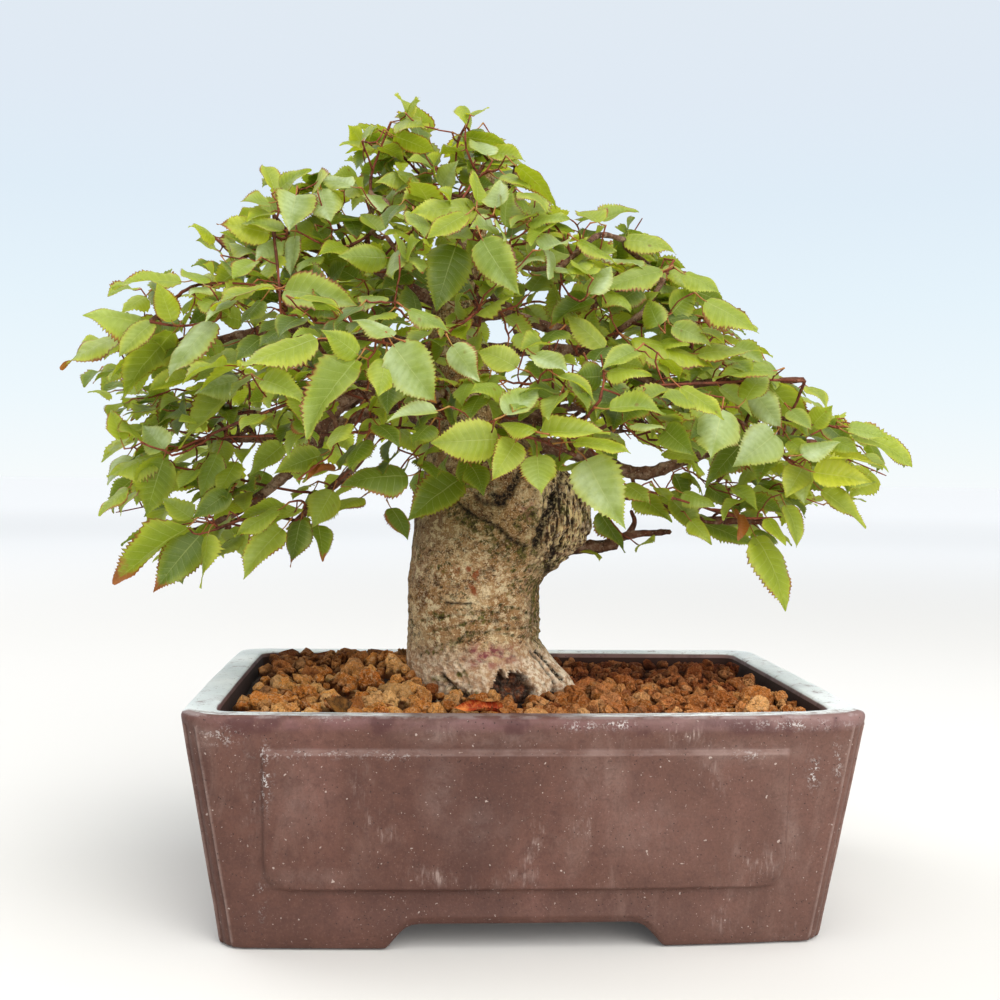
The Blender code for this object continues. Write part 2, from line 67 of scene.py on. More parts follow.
CAM = np.array([-35.2, -471.1, 138.8])  # mm
YAW, PITCH, ROLL = (math.radians(a) for a in (3.7, -0.91, 0.68))
FOCAL = 1377.2  # picture units for a picture 1000 wide


def camera_axes():
    cy, sy, cp, sp = math.cos(YAW), math.sin(YAW), math.cos(PITCH), math.sin(PITCH)
    cr, sr = math.cos(ROLL), math.sin(ROLL)
    f = np.array([sy * cp, cy * cp, sp])
    r = np.array([cy, -sy, 0.0])
    u = np.cross(r, f)
    return cr * r + sr * u, -sr * r + cr * u, f


CAM_R, CAM_U, CAM_F = camera_axes()


def project(p):
    """Where points (mm) fall in a picture 1000 wide, and how far off they are."""
    d = np.atleast_2d(p) - CAM
    depth = d @ CAM_F
    return 500 + FOCAL * (d @ CAM_R) / depth, 500 - FOCAL * (d @ CAM_U) / depth, depth


def ray(px, py):
    return CAM_F + (px - 500) / FOCAL * CAM_R + (500 - py) / FOCAL * CAM_U


def at_depth(px, py, y):
    """The point (mm) seen at a place of the picture, at a given y."""
    d = ray(px, py)
    return CAM + d * ((y - CAM[1]) / d[1])


def make_camera():
    cam = bpy.data.cameras.new("view")
    cam.sensor_width = 36.0
    cam.lens = FOCAL / 1000 * 36.0
    cam.clip_start = 0.01
    cam.clip_end = 120
    obj = bpy.data.objects.new("view", cam)
    m = Matrix.Identity(4)
    for i in range(3):
        m[i][0], m[i][1], m[i][2], m[i][3] = CAM_R[i], CAM_U[i], -CAM_F[i], CAM[i] * MM
    obj.matrix_world = m
    bpy.context.scene.collection.objects.link(obj)
    bpy.context.scene.camera = obj


# ------------------------------------------------------------------ noise and meshes

_gen = np.random.RandomState(11)
_PERM = _gen.permutation(256)
_G = _gen.normal(size=(256, 3))
_G /= np.linalg.norm(_G, axis=1)[:, None]


def noise3(p, scale=1.0, seed=0.0):
    """Smooth noise of about -1 to 1 at each point."""
    p = np.asarray(p, float).reshape(-1, 3) * scale + seed * 13.37
    i = np.floor(p).astype(int)
    f = p - i
    w = f * f * f * (f * (f * 6 - 15) + 10)
    out = 0.0
    for dx in (0, 1):
        for dy in (0, 1):
            for dz in (0, 1):
                h = _PERM[(_PERM[(_PERM[(i[:, 0] + dx) & 255] + i[:, 1] + dy) & 255] + i[:, 2] + dz) & 255]
                g = _G[h]
                dot = g[:, 0] * (f[:, 0] - dx) + g[:, 1] * (f[:, 1] - dy) + g[:, 2] * (f[:, 2] - dz)
                wx = w[:, 0] if dx else 1 - w[:, 0]
                wy = w[:, 1] if dy else 1 - w[:, 1]
                wz = w[:, 2] if dz else 1 - w[:, 2]
                out = out + dot * wx * wy * wz
    return out * 1.7


def fbm(p, scale=1.0, octaves=3, seed=0.0, gain=0.5):
    total, amp = 0.0, 1.0
    for k in range(octaves):
        total = total + amp * noise3(p, scale * 2.03**k, seed + k)
        amp *= gain
    return total


def smoothstep(a, b, x):
    t = np.clip((np.asarray(x, float) - a) / (b - a), 0, 1)
    return t * t * (3 - 2 * t)


def bump(x, mid, width):
    return np.exp(-(((np.asarray(x, float) - mid) / width) ** 2))


def unit(v):
    v = np.asarray(v, float)
    n = np.linalg.norm(v)
    return v / n if n > 1e-12 else v


def make_mesh(name, verts_mm, faces, mat, uv=None, attrs=None, smooth=True, sharp=None):
    """An object from points in mm, with optional per-point UVs and colours."""
    mesh = bpy.data.meshes.new(name)
    verts = np.asarray(verts_mm, float) * MM
    mesh.from_pydata(verts.tolist(), [], faces if isinstance(faces, list) else np.asarray(faces).tolist())
    if uv is not None:
        layer = mesh.uv_layers.new(name="UVMap")
        index = np.empty(len(mesh.loops), dtype=np.int32)
        mesh.loops.foreach_get("vertex_index", index)
        layer.data.foreach_set("uv", np.asarray(uv, np.float32)[index].ravel())
    for key, values in (attrs or {}).items():
        values = np.asarray(values, np.float32)
        if values.ndim == 1:
            values = np.stack([values] * 3, axis=1)
        rgba = np.ones((len(values), 4), np.float32)
        rgba[:, : values.shape[1]] = values
        mesh.color_attributes.new(key, "FLOAT_COLOR", "POINT").data.foreach_set("color", rgba.ravel())
    if smooth:
        mesh.shade_smooth()
        if sharp:
            mesh.set_sharp_from_angle(angle=math.radians(sharp))
    mesh.materials.append(mat)
    obj = bpy.data.objects.new(name, mesh)
    bpy.context.scene.collection.objects.link(obj)
    return obj


def outward(obj):
    """Turns every closed shell of a mesh the right way out."""
    bm = bmesh.new()
    bm.from_mesh(obj.data)
    bmesh.ops.recalc_face_normals(bm, faces=bm.faces)
    bm.to_mesh(obj.data)
    bm.free()


class Gather:
    """Collects many small shapes into one mesh."""

    def __init__(self):
        self.verts, self.faces, self.uv, self.attrs, self.count = [], [], [], {}, 0

    def add(self, verts, faces, uv=None, **attrs):
        self.verts.append(np.asarray(verts, float))
        self.faces.extend((np.asarray(faces) + self.count).tolist() if not isinstance(faces, list) else [[i + self.count for i in f] for f in faces])
        if uv is not None:
            self.uv.append(uv)
        for key, value in attrs.items():
            value = np.asarray(value, float)
            if value.ndim == 1:
                value = np.tile(value, (len(verts), 1))
            self.attrs.setdefault(key, []).append(value)
        self.count += len(verts)

    def build(self, name, mat, **more):
        uv = np.concatenate(self.uv) if self.uv else None
        attrs = {k: np.concatenate(v) for k, v in self.attrs.items()}
        return make_mesh(name, np.concatenate(self.verts), self.faces, mat, uv=uv, attrs=attrs, **more)


def ring_faces(rings, around, closed=True):
    """Quads between successive rings of equally many points."""
    i = np.arange(rings - 1)[:, None] * around
    if closed:
        j = np.arange(around)[None, :]
        k = (np.arange(around) + 1)[None, :] % around
    else:
        j = np.arange(around - 1)[None, :]
        k = j + 1
    return np.stack([i + j, i + k, i + around + k, i + around + j], axis=-1).reshape(-1, 4)


def smooth_path(points, per_span):
    """Points along the smooth curve through the given ones."""
    pts = [np.asarray(p, float) for p in points]
    pts = [2 * pts[0] - pts[1]] + pts + [2 * pts[-1] - pts[-2]]
    path = []
    for a, b, c, d in zip(pts, pts[1:], pts[2:], pts[3:]):
        for k in range(per_span):
            t = k / per_span
            path.append(0.5 * (2 * b + (c - a) * t + (2 * a - 5 * b + 4 * c - d) * t * t + (3 * b - a - 3 * c + d) * t**3))
    path.append(pts[-2])
    return np.array(path)


def tube(path, radii, sides, cap=True, twist=0.0):
    """Points and faces of a closed tube along a path, both ends closed."""
    path = np.asarray(path, float)
    n = len(path)
    radii = np.broadcast_to(radii, (n,)) if np.ndim(radii) < 2 else radii
    ahead = np.gradient(path, axis=0)
    ahead /= np.maximum(np.linalg.norm(ahead, axis=1), 1e-9)[:, None]
    side = np.cross(ahead[0], (0.31, 0.17, 0.93))
    if np.linalg.norm(side) < 0.1:
        side = np.cross(ahead[0], (1.0, 0.2, 0.1))
    side = unit(side)
    verts = []
    angles = 2 * np.pi * np.arange(sides) / sides
    for i in range(n):
        side = unit(side - ahead[i] * (side @ ahead[i]))
        other = np.cross(ahead[i], side)
        r = radii[i]
        verts.append(path[i] + np.outer(np.cos(angles + twist * i) * r, side) + np.outer(np.sin(angles + twist * i) * r, other))
    verts = np.concatenate(verts)
    faces = ring_faces(n, sides).tolist()
    if cap:
        tip = path[-1] + ahead[-1] * np.min(radii[-1]) * 0.8
        root = path[0] - ahead[0] * np.min(radii[0]) * 0.5
        verts = np.concatenate([verts, [tip], [root]])
        t, b = len(verts) - 2, len(verts) - 1
        base = (n - 1) * sides
        faces += [[base + k, base + (k + 1) % sides, t] for k in range(sides)]
        faces += [[(k + 1) % sides, k, b] for k in range(sides)]
    return verts, faces


# ------------------------------------------------------------------ material nodes


class Nodes:
    """Short names for building a node tree."""

    def __init__(self, name, surface="principled"):
        self.mat = bpy.data.materials.new(name)
        self.mat.use_nodes = True
        self.tree = self.mat.node_tree
        self.shader = self.tree.nodes["Principled BSDF"]
        self.out = self.tree.nodes["Material Output"]

    def new(self, kind, **props):
        node = self.tree.nodes.new(kind)
        for key, value in props.items():
            setattr(node, key, value)
        return node

    def put(self, socket, value):
        if isinstance(value, bpy.types.NodeSocket):
            self.tree.links.new(value, socket)
        elif value is not None:
            if socket.type == "RGBA" and not np.isscalar(value) and len(value) == 3:
                value = (*value, 1.0)
            socket.default_value = value

    def math(self, op, a, b=None, c=None, clamp=False):
        node = self.new("ShaderNodeMath", operation=op, use_clamp=clamp)
        self.put(node.inputs[0], a)
        if b is not None:
            self.put(node.inputs[1], b)
        if c is not None:
            self.put(node.inputs[2], c)
        return node.outputs[0]

    def mul(self, a, b, clamp=False):
        return self.math("MULTIPLY", a, b, clamp=clamp)

    def add(self, a, b, clamp=False):
        return self.math("ADD", a, b, clamp=clamp)

    def step(self, value, low, high, out_low=0.0, out_high=1.0):
        node = self.new("ShaderNodeMapRange", interpolation_type="SMOOTHSTEP")
        self.put(node.inputs["Value"], value)
        self.put(node.inputs["From Min"], low)
        self.put(node.inputs["From Max"], high)
        self.put(node.inputs["To Min"], out_low)
        self.put(node.inputs["To Max"], out_high)
        return node.outputs["Result"]

    def mix(self, fac, a, b, blend="MIX"):
        node = self.new("ShaderNodeMix", data_type="RGBA", blend_type=blend)
        self.put(node.inputs[0], fac)
        self.put(node.inputs[6], a)
        self.put(node.inputs[7], b)
        return node.outputs[2]

    def mixf(self, fac, a, b):
        node = self.new("ShaderNodeMix", data_type="FLOAT")
        self.put(node.inputs[0], fac)
        self.put(node.inputs[2], a)
        self.put(node.inputs[3], b)
        return node.outputs[0]

    def ramp(self, fac, stops, mode="LINEAR"):
        node = self.new("ShaderNodeValToRGB")
        node.color_ramp.interpolation = mode
        els = node.color_ramp.elements
        while len(els) < len(stops):
            els.new(0.5)
        for el, (pos, col) in zip(els, stops):
            el.position = pos
            el.color = (*col, 1.0) if len(col) == 3 else col
        self.put(node.inputs[0], fac)
        return node.outputs[0]

    def place(self, scale=(1, 1, 1), turn=(0, 0, 0), source="Object"):
        key = "ShaderNodeTexCoord"
        if not hasattr(self, "coord"):
            self.coord = self.new(key)
        node = self.new("ShaderNodeMapping")
        self.put(node.inputs["Vector"], self.coord.outputs[source])
        node.inputs["Scale"].default_value = scale
        node.inputs["Rotation"].default_value = turn
        return node.outputs[0]

    def noise(self, vector, scale, detail=3.0, rough=0.5, warp=0.0, which="Fac"):
        node = self.new("ShaderNodeTexNoise")
        if vector is not None:
            self.put(node.inputs["Vector"], vector)
        node.inputs["Scale"].default_value = scale
        node.inputs["Detail"].default_value = detail
        node.inputs["Roughness"].default_value = rough
        node.inputs["Distortion"].default_value = warp
        return node.outputs[which]

    def cells(self, vector, scale, feature="F1", which="Distance", jitter=1.0):
        node = self.new("ShaderNodeTexVoronoi", feature=feature)
        self.put(node.inputs["Vector"], vector)
        node.inputs["Scale"].default_value = scale
        node.inputs["Randomness"].default_value = jitter
        return node.outputs[which]

    def attr(self, name, which="Color"):
        node = self.new("ShaderNodeAttribute", attribute_name=name)
        return node.outputs[which]

    def split(self, colour):
        node = self.new("ShaderNodeSeparateColor")
        self.put(node.inputs[0], colour)
        return node.outputs[0], node.outputs[1], node.outputs[2]

    def bump(self, height, strength, distance, normal=None):
        node = self.new("ShaderNodeBump")
        node.inputs["Strength"].default_value = strength
        node.inputs["Distance"].default_value = distance
        self.put(node.inputs["Height"], height)
        if normal is not None:
            self.put(node.inputs["Normal"], normal)
        return node.outputs[0]

    def finish(self, colour=None, rough=None, normal=None, **constants):
        if colour is not None:
            self.put(self.shader.inputs["Base Color"], colour)
        if rough is not None:
            self.put(self.shader.inputs["Roughness"], rough)
        if normal is not None:
            self.put(self.shader.inputs["Normal"], normal)
        for key, value in constants.items():
            self.shader.inputs[key.replace("_", " ")].default_value = value
        return self.mat


def srgb(text):
    """Linear colour of a six-digit colour."""
    vals = [int(text[i : i + 2], 16) / 255 for i in (0, 2, 4)]
    return tuple(v / 12.92 if v <= 0.04045 else ((v + 0.055) / 1.055) ** 2.4 for v in vals)


# ------------------------------------------------------------------ pot

RIM_HALF_X, RIM_HALF_Y, POT_HEIGHT = 101.4, 75.0, 71.0
TAPER, RIM_WIDTH = 10.5, 10.0
LIP_HEIGHT, LIP_OVERHANG = 3.6, 0.45
FOOT_WALL, FLOOR_TOP, WALL = 9.0, 14.0, 8.0
PANEL_HALF_X, PANEL_HALF_Y, PANEL_LOW, PANEL_HIGH = 77.0, 51.0, 18.0, 60.5
GAP_HALF_LONG, GAP_HALF_SHORT = 35.0, 20.0
DRAIN_X, DRAIN_RADIUS = 46.0, 11.0
INNER_CORNER = 5.0


def outer_inset(z):
    return LIP_OVERHANG + (TAPER - LIP_OVERHANG) * (POT_HEIGHT - LIP_HEIGHT - z) / (POT_HEIGHT - LIP_HEIGHT)


def wall_inset(z):
    low = outer_inset(FLOOR_TOP) + WALL
    return RIM_WIDTH + (low - RIM_WIDTH) * (POT_HEIGHT - z) / (POT_HEIGHT - FLOOR_TOP)


def side_stations(half, inner, dense):
    """Places along half a side, from its middle to its corner zone, closer at marked spots."""
    out, s = [], 0.0
    while s < half:
        out.append(s)
        near = min(abs(s - d) for d in dense)
        s += 0.42 if near < 1.6 else (0.9 if near < 4 else 2.4)
    return [v for v in out if v < half - 0.2]


def pot_outline():
    """Stations round the pot: which side, the place along it, and where it is in the corner."""
    # Each station: (quadrant signs, long-side flag, along 0..1 or corner parameter)
    long_half = side_stations(92.5, 0, (PANEL_HALF_X, 35.5, 38.5, 41.0))
    short_half = side_stations(67.5, 0, (PANEL_HALF_Y, 20.5, 23.5, 26.0))
    corner = np.linspace(0, 1, len(CORNER_ANGLES))
    st = []
    # counter-clockwise from the middle of the right side (x = +)
    for s in short_half:
        st.append(("x", 1, 1, s))
    for c in corner:
        st.append(("c", 1, 1, c))
    for s in reversed(long_half):
        st.append(("y", 1, 1, s))
    for s in long_half[1:]:
        st.append(("y", -1, 1, s))
    for c in reversed(corner):
        st.append(("c", -1, 1, c))
    for s in reversed(short_half):
        st.append(("x", -1, 1, s))
    for s in short_half[1:]:
        st.append(("x", -1, -1, s))
    for c in corner:
        st.append(("c", -1, -1, c))
    for s in reversed(long_half):
        st.append(("y", -1, -1, s))
    for s in long_half[1:]:
        st.append(("y", 1, -1, s))
    for c in reversed(corner):
        st.append(("c", 1, -1, c))
    for s in reversed(short_half[1:]):
        st.append(("x", 1, -1, s))
    return st


CORNER_ANGLES = (-2, -1, 0, 7, 14, 20, 24, 27, 30, 34, 39, 45, 51, 56, 60, 63, 66, 70, 76, 83, 90, 91, 92)
CORNER_ZONE, CORNER_RADIUS = 10.0, 8.5


def corner_shape(kind, c, a, b, size):
    """A point of the corner zone: c runs from 0 on the x side to 1 on the y side."""
    deg = CORNER_ANGLES[int(round(c * (len(CORNER_ANGLES) - 1)))]
    r = size
    if deg < 0:
        return a, b - r - (CORNER_ZONE - r) * (-deg) / 2
    if deg > 90:
        return a - r - (CORNER_ZONE - r) * (deg - 90) / 2, b
    rr = r
    if kind == "bead":
        # a narrow ridge, a groove beside it, and a slightly sunk round between the two grooves
        q = min(deg, 90 - deg)
        rr += 0.34 * math.exp(-(((q - 25.5) / 3.2) ** 2)) - 0.62 * math.exp(-(((q - 31.5) / 3.4) ** 2)) - 0.22 * float(smoothstep(30, 36, q))
    t = math.radians(deg)
    return a - r + rr * math.cos(t), b - r + rr * math.sin(t)


def outline_points(stations, inset, z, kind, size, long_ref=92.5, short_ref=67.5):
    """The outline at one inset and height. Stations near the middle stay where the panel
    and the feet are; those near the corners close up as the sides draw in."""
    a, b = RIM_HALF_X - inset, RIM_HALF_Y - inset
    out = np.empty((len(stations), 3))
    for i, (where, sx, sy, s) in enumerate(stations):
        if where == "y":
            end = a - CORNER_ZONE
            hold = 79.0 if end > 79.5 else end - 6.0
            x = s if s <= hold else hold + (s - hold) * (end - hold) / (long_ref - hold)
            y = b
        elif where == "x":
            end = b - CORNER_ZONE
            hold = 53.0 if end > 53.5 else end - 6.0
            y = s if s <= hold else hold + (s - hold) * (end - hold) / (short_ref - hold)
            x = a
        else:
            x, y = corner_shape(kind, s, a, b, size)
        out[i] = (sx * x, sy * y, z if np.isscalar(z) else z[i])
    return out


def foot_edge(stations, points):
    """Height of the wall's lower edge: 0 under the feet, raised in the arches between them."""
    z = np.zeros(len(stations))
    rise_x = np.array([-3.4, -1.6, 0.4, 2.0, 3.8, 5.4, 6.2, 6.8])
    rise_z = np.array([7.4, 7.15, 6.3, 4.9, 2.9, 0.9, 0.2, 0.0])
    for i, (where, sx, sy, s) in enumerate(stations):
        if where == "y":
            z[i] = np.interp(abs(points[i, 0]) - GAP_HALF_LONG, rise_x, rise_z, left=7.4, right=0.0)
        elif where == "x":
            z[i] = np.interp(abs(points[i, 1]) - GAP_HALF_SHORT, rise_x * 0.8, rise_z * 0.72, left=5.4, right=0.0)
    return z * 0.98


def bow(points, amount=1.0):
    """The long sides stand out a little in their middles, as slumped clay does."""
    p = points.copy()
    side = smoothstep(0.55, 0.95, np.abs(p[:, 1]) / (RIM_HALF_Y - 2))
    p[:, 1] += np.sign(p[:, 1]) * 1.7 * amount * (1 - (p[:, 0] / 96) ** 2).clip(0) * side
    side = smoothstep(0.6, 0.97, np.abs(p[:, 0]) / (RIM_HALF_X - 2))
    p[:, 0] += np.sign(p[:, 0]) * 0.5 * amount * (1 - (p[:, 1] / 72) ** 2).clip(0) * side
    return p


def panel_rise(points, stations):
    """How far the raised panel stands out at each point of the outer face."""
    rise = np.zeros(len(points))
    for i, (where, sx, sy, s) in enumerate(stations):
        if where == "c":
            continue
        half = PANEL_HALF_X if where == "y" else PANEL_HALF_Y
        along = abs(points[i, 0] if where == "y" else points[i, 1])
        z = points[i, 2]
        # signed distance inside a box whose lower corners are rounded
        r = 8.0 if z < 40 else 2.0
        qx, qz = along - (half - r), abs(z - (PANEL_LOW + PANEL_HIGH) / 2) - ((PANEL_HIGH - PANEL_LOW) / 2 - r)
        d = math.hypot(max(qx, 0), max(qz, 0)) + min(max(qx, qz), 0) - r
        rise[i] = 1.0 - smoothstep(-0.80, 0.40, d)
    return rise


# Rubbed and limy places on the front: centre and half size in the picture, kind and
# amount: 0 scuffs leaning right, 1 scuffs leaning left, 2 haze, 3 crusts of lime
RUBS = (
    (440, 733, 34, 12, 2, 0.75), (505, 738, 60, 9, 2, 0.40), (440, 792, 15, 32, 2, 0.45), (372, 820, 9, 8, 0, 0.8), (385, 834, 12, 8, 1, 0.7),
    (436, 877, 26, 9, 1, 0.75), (478, 884, 26, 9, 0, 0.6), (535, 850, 13, 31, 0, 1.0), (518, 872, 14, 18, 1, 0.7), (583, 820, 9, 26, 0, 0.75),
    (600, 782, 26, 18, 2, 0.40), (690, 737, 27, 10, 0, 0.95), (712, 784, 12, 24, 1, 0.8), (762, 862, 38, 14, 0, 0.65), (745, 752, 60, 9, 2, 0.55),
    (790, 830, 9, 36, 2, 0.6), (724, 908, 13, 22, 1, 0.7), (770, 930, 44, 12, 0, 0.5), (310, 880, 46, 9, 2, 0.4), (205, 738, 15, 12, 2, 0.6),
    (360, 788, 10, 22, 0, 0.5), (250, 800, 16, 40, 1, 0.3), (300, 800, 30, 30, 2, 0.25), (650, 830, 40, 30, 2, 0.3), (480, 830, 34, 26, 2, 0.25),
    (264, 754, 4, 8, 3, 0.9), (265, 782, 4, 22, 3, 1.0), (305, 754, 44, 4, 3, 0.55), (390, 755, 26, 4, 3, 0.5), (814, 773, 4, 12, 3, 1.3),
    (838, 762, 3, 18, 3, 0.6), (580, 726, 14, 4, 3, 0.9), (619, 725, 13, 4, 3, 1.0), (800, 725, 46, 4, 3, 0.75), (222, 736, 16, 8, 3, 0.6),
    (262, 900, 3, 14, 3, 0.8), (335, 717, 24, 3, 3, 0.5), (750, 755, 16, 4, 3, 0.55),
)


def rub_marks(verts):
    px, py, _ = project(verts)
    front = smoothstep(-45, -60, verts[:, 1])
    out = np.zeros((len(verts), 4))
    for x, y, hx, hy, kind, amount in RUBS:
        d2 = ((px - x) / hx) ** 2 + ((py - y) / hy) ** 2
        out[:, kind] = np.maximum(out[:, kind], amount * np.exp(-1.1 * d2) * front)
    # the other sides are rubbed here and there too
    other = (1 - front) * 0.8
    for kind, seed in ((0, 61.0), (1, 63.0), (2, 65.0)):
        out[:, kind] += other * smoothstep(0.25, 0.9, noise3(verts, 1 / 16, seed))
    out[:, 3] += other * smoothstep(0.55, 1.0, noise3(verts, 1 / 9, 67.0))
    return np.clip(out, 0, 1.3)


def make_pot(mat):
    st = pot_outline()
    loops, tags = [], []

    def add(points, tag):
        loops.append(points)
        tags.append(np.full(len(points), tag))

    foot_ref = outline_points(st, outer_inset(0), 0, "bead", CORNER_RADIUS)
    edge = foot_edge(st, foot_ref)
    # The hollow under the floor: its ceiling, then its walls down to the feet
    in_low = outer_inset(0) + FOOT_WALL
    for k in (0.25, 0.55, 0.8, 1.0):
        p = outline_points(st, in_low + 0.8, 7.9, "arc", 4.0)
        p[:, :2] *= k
        add(p, 0.0)
    p = outline_points(st, in_low, 7.6, "arc", 4.0)
    p[:, 2] = np.maximum(7.7, edge + 0.2)
    add(bow(p), 0.0)
    for dz, grow in ((0.45, 0.0), (0.05, 0.5)):
        p = outline_points(st, in_low - grow, 0, "arc", 4.0)
        p[:, 2] = np.minimum(edge + dz, 7.6)
        add(bow(p), 0.0)
    # Under the feet to the outer face, with a worn round edge
    for inset, dz in ((4.0, 0.0), (1.4, 0.0), (0.8, 0.09), (0.33, 0.34), (0.07, 0.80)):
        p = outline_points(st, outer_inset(0) + inset, 0, "bead" if inset < 1 else "arc", CORNER_RADIUS - 0.8 * inset)
        p[:, 2] = edge + dz
        add(bow(p), 0.1)
    # The outer face, closer rows where the panel's edges are
    low_rows = np.linspace(2.2, 16.0, 9)
    mid_rows = list(np.arange(16.6, 20.6, 0.42)) + list(np.linspace(21.6, 57.6, 17)) + list(np.arange(58.4, 63.2, 0.42)) + [64.4, 65.6, 66.4]
    for v in low_rows:
        f = (v - 2.2) / (16.0 - 2.2)
        z = (edge + 2.2) * (1 - f) + 16.0 * f
        p = outline_points(st, outer_inset(float(v)), 0, "bead", CORNER_RADIUS)
        inset = outer_inset(z)
        a0 = outer_inset(float(v))
        p[:, 2] = z
        for i, (where, sx, sy, s) in enumerate(st):
            if where == "y":
                p[i, 1] = sy * (RIM_HALF_Y - inset[i])
            elif where == "x":
                p[i, 0] = sx * (RIM_HALF_X - inset[i])
        add(bow(p), 1.0)
    for z in mid_rows:
        p = outline_points(st, outer_inset(z), z, "bead", CORNER_RADIUS)
        rise = panel_rise(p, st) * 1.75
        q = bow(p)
        for i, (where, sx, sy, s) in enumerate(st):
            if where == "y":
                q[i, 1] += sy * rise[i]
            elif where == "x":
                q[i, 0] += sx * rise[i]
        add(q, 1.0)
    # The lip
    add(bow(outline_points(st, 0.50, 66.9, "bead", CORNER_RADIUS)), 1.0)
    for inset, z in ((0.42, 67.5), (0.32, 68.1), (0.24, 68.7), (0.24, 69.3), (0.40, 69.85), (0.75, 70.35), (1.3, 70.72), (2.0, 70.93)):
        add(bow(outline_points(st, inset, z, "arc", CORNER_RADIUS - 0.2 * inset)), 2.0)
    for inset, z in ((3.0, 71.02), (4.4, 71.03), (5.8, 71.0), (7.4, 70.95), (8.6, 70.85), (9.3, 70.62), (9.75, 70.2), (9.95, 69.6)):
        add(bow(outline_points(st, inset, z, "arc", CORNER_RADIUS - 0.35 * inset)), 3.0)
    # The inner face, down under the soil
    for z in (68.6, 67.0, 65.0, 62.5, 58.0, 48.0, 36.0, 24.0, 17.0):
        add(bow(outline_points(st, wall_inset(z), z, "arc", INNER_CORNER), 0.85 * z / 71), 4.0)
    floor_in = wall_inset(FLOOR_TOP)
    add(outline_points(st, floor_in + 1.4, FLOOR_TOP + 0.25, "arc", INNER_CORNER), 4.0)
    for k in (1.0, 0.75, 0.5, 0.25):
        p = outline_points(st, floor_in + 2.4, FLOOR_TOP, "arc", INNER_CORNER)
        p[:, :2] *= k
        add(p, 4.0)

    around = len(st)
    verts = np.concatenate(loops)
    tag = np.concatenate(tags)
    # The slab walls aren't true planes
    out = verts.copy()
    out[:, 2] = 0
    radial = out / np.maximum(np.linalg.norm(out, axis=1), 1e-6)[:, None]
    wave = fbm(verts, 1 / 38, 2, 3.0) * 0.22 + fbm(verts, 1 / 9, 2, 5.0) * 0.045
    verts = verts + radial * (wave * (tag >= 1) * (tag < 4))[:, None]
    # The front sank a little in the kiln, between its corners
    drop = 0.85 * smoothstep(-105, -88, verts[:, 0]) * smoothstep(104, 78, verts[:, 0]) * (1 - 0.25 * smoothstep(30, 90, verts[:, 0]))
    verts[:, 2] -= drop * np.clip(verts[:, 2] / 68, 0, 1) * smoothstep(0.66, 0.84, -verts[:, 1] / RIM_HALF_Y) * (tag > 0.05)
    # the corner ridges, rubbed pale and given a painted highlight
    ridge = np.array([1.0 if where == "c" and CORNER_ANGLES[int(round(a * (len(CORNER_ANGLES) - 1)))] in (24, 27, 63, 66) else 0.0 for where, sx, sy, a in st])
    ridge = np.tile(ridge, len(loops)) * (tag == 1.0)
    toe = 2.4 * (1 - ((verts[:, 0] + 12) / 88) ** 2).clip(0) ** 0.7 * smoothstep(17, 3, verts[:, 2]) * smoothstep(0.55, 0.9, -verts[:, 1] / 68) * (tag > 0.05) * (tag < 1.5)
    verts[:, 1] -= toe
    sag = 0.35 * (1 - (verts[:, 0] / 98) ** 2).clip(0) * smoothstep(55, 71, verts[:, 2]) * smoothstep(0.5, 0.9, np.abs(verts[:, 1]) / 74)
    verts[:, 2] -= sag
    verts[:, 2] += fbm(verts, 1 / 14, 2, 9.0) * 0.06 * (tag >= 3) * (tag < 4)
    faces = ring_faces(len(loops), around).tolist()
    n = len(verts)
    verts = np.concatenate([verts, [(0, 0, 7.9)], [(0, 0, FLOOR_TOP)]])
    tag = np.concatenate([tag, [0.0, 4.0]])
    last = (len(loops) - 1) * around
    for i in range(around):
        j = (i + 1) % around
        faces.append([j, i, n])
        faces.append([last + i, last + j, n + 1])
    ridge = np.concatenate([ridge, [0.0, 0.0]])
    zone = np.clip(tag / 4, 0, 1)
    pot = make_mesh("pot_clay_body", verts, faces, mat, attrs={"zone": np.stack([zone, ridge, zone], axis=1), "rubs": rub_marks(verts)})
    outward(pot)
    for sign in (-1, 1):
        bm = bmesh.new()
        bmesh.ops.create_cone(bm, cap_ends=True, segments=48, radius1=DRAIN_RADIUS * MM, radius2=DRAIN_RADIUS * MM, depth=0.03)
        for v in bm.verts:
            v.co += Vector((sign * DRAIN_X * MM, 0, FLOOR_TOP * MM))
        mesh = bpy.data.meshes.new("drain_cut")
        bm.to_mesh(mesh)
        bm.free()
        mesh.materials.append(mat)
        cutter = bpy.data.objects.new("drain_cut", mesh)
        bpy.context.scene.collection.objects.link(cutter)
        mod = pot.modifiers.new("drain", "BOOLEAN")
        mod.operation, mod.solver, mod.object = "DIFFERENCE", "EXACT", cutter
        graph = bpy.context.evaluated_depsgraph_get()
        graph.update()
        cut = bpy.data.meshes.new_from_object(pot.evaluated_get(graph), preserve_all_data_layers=True, depsgraph=graph)
        pot.modifiers.clear()
        old = pot.data
        pot.data = cut
        bpy.data.meshes.remove(old)
        bpy.data.objects.remove(cutter, do_unlink=True)
    pot.data.shade_smooth()
    pot.data.set_sharp_from_angle(angle=math.radians(50))
    return pot


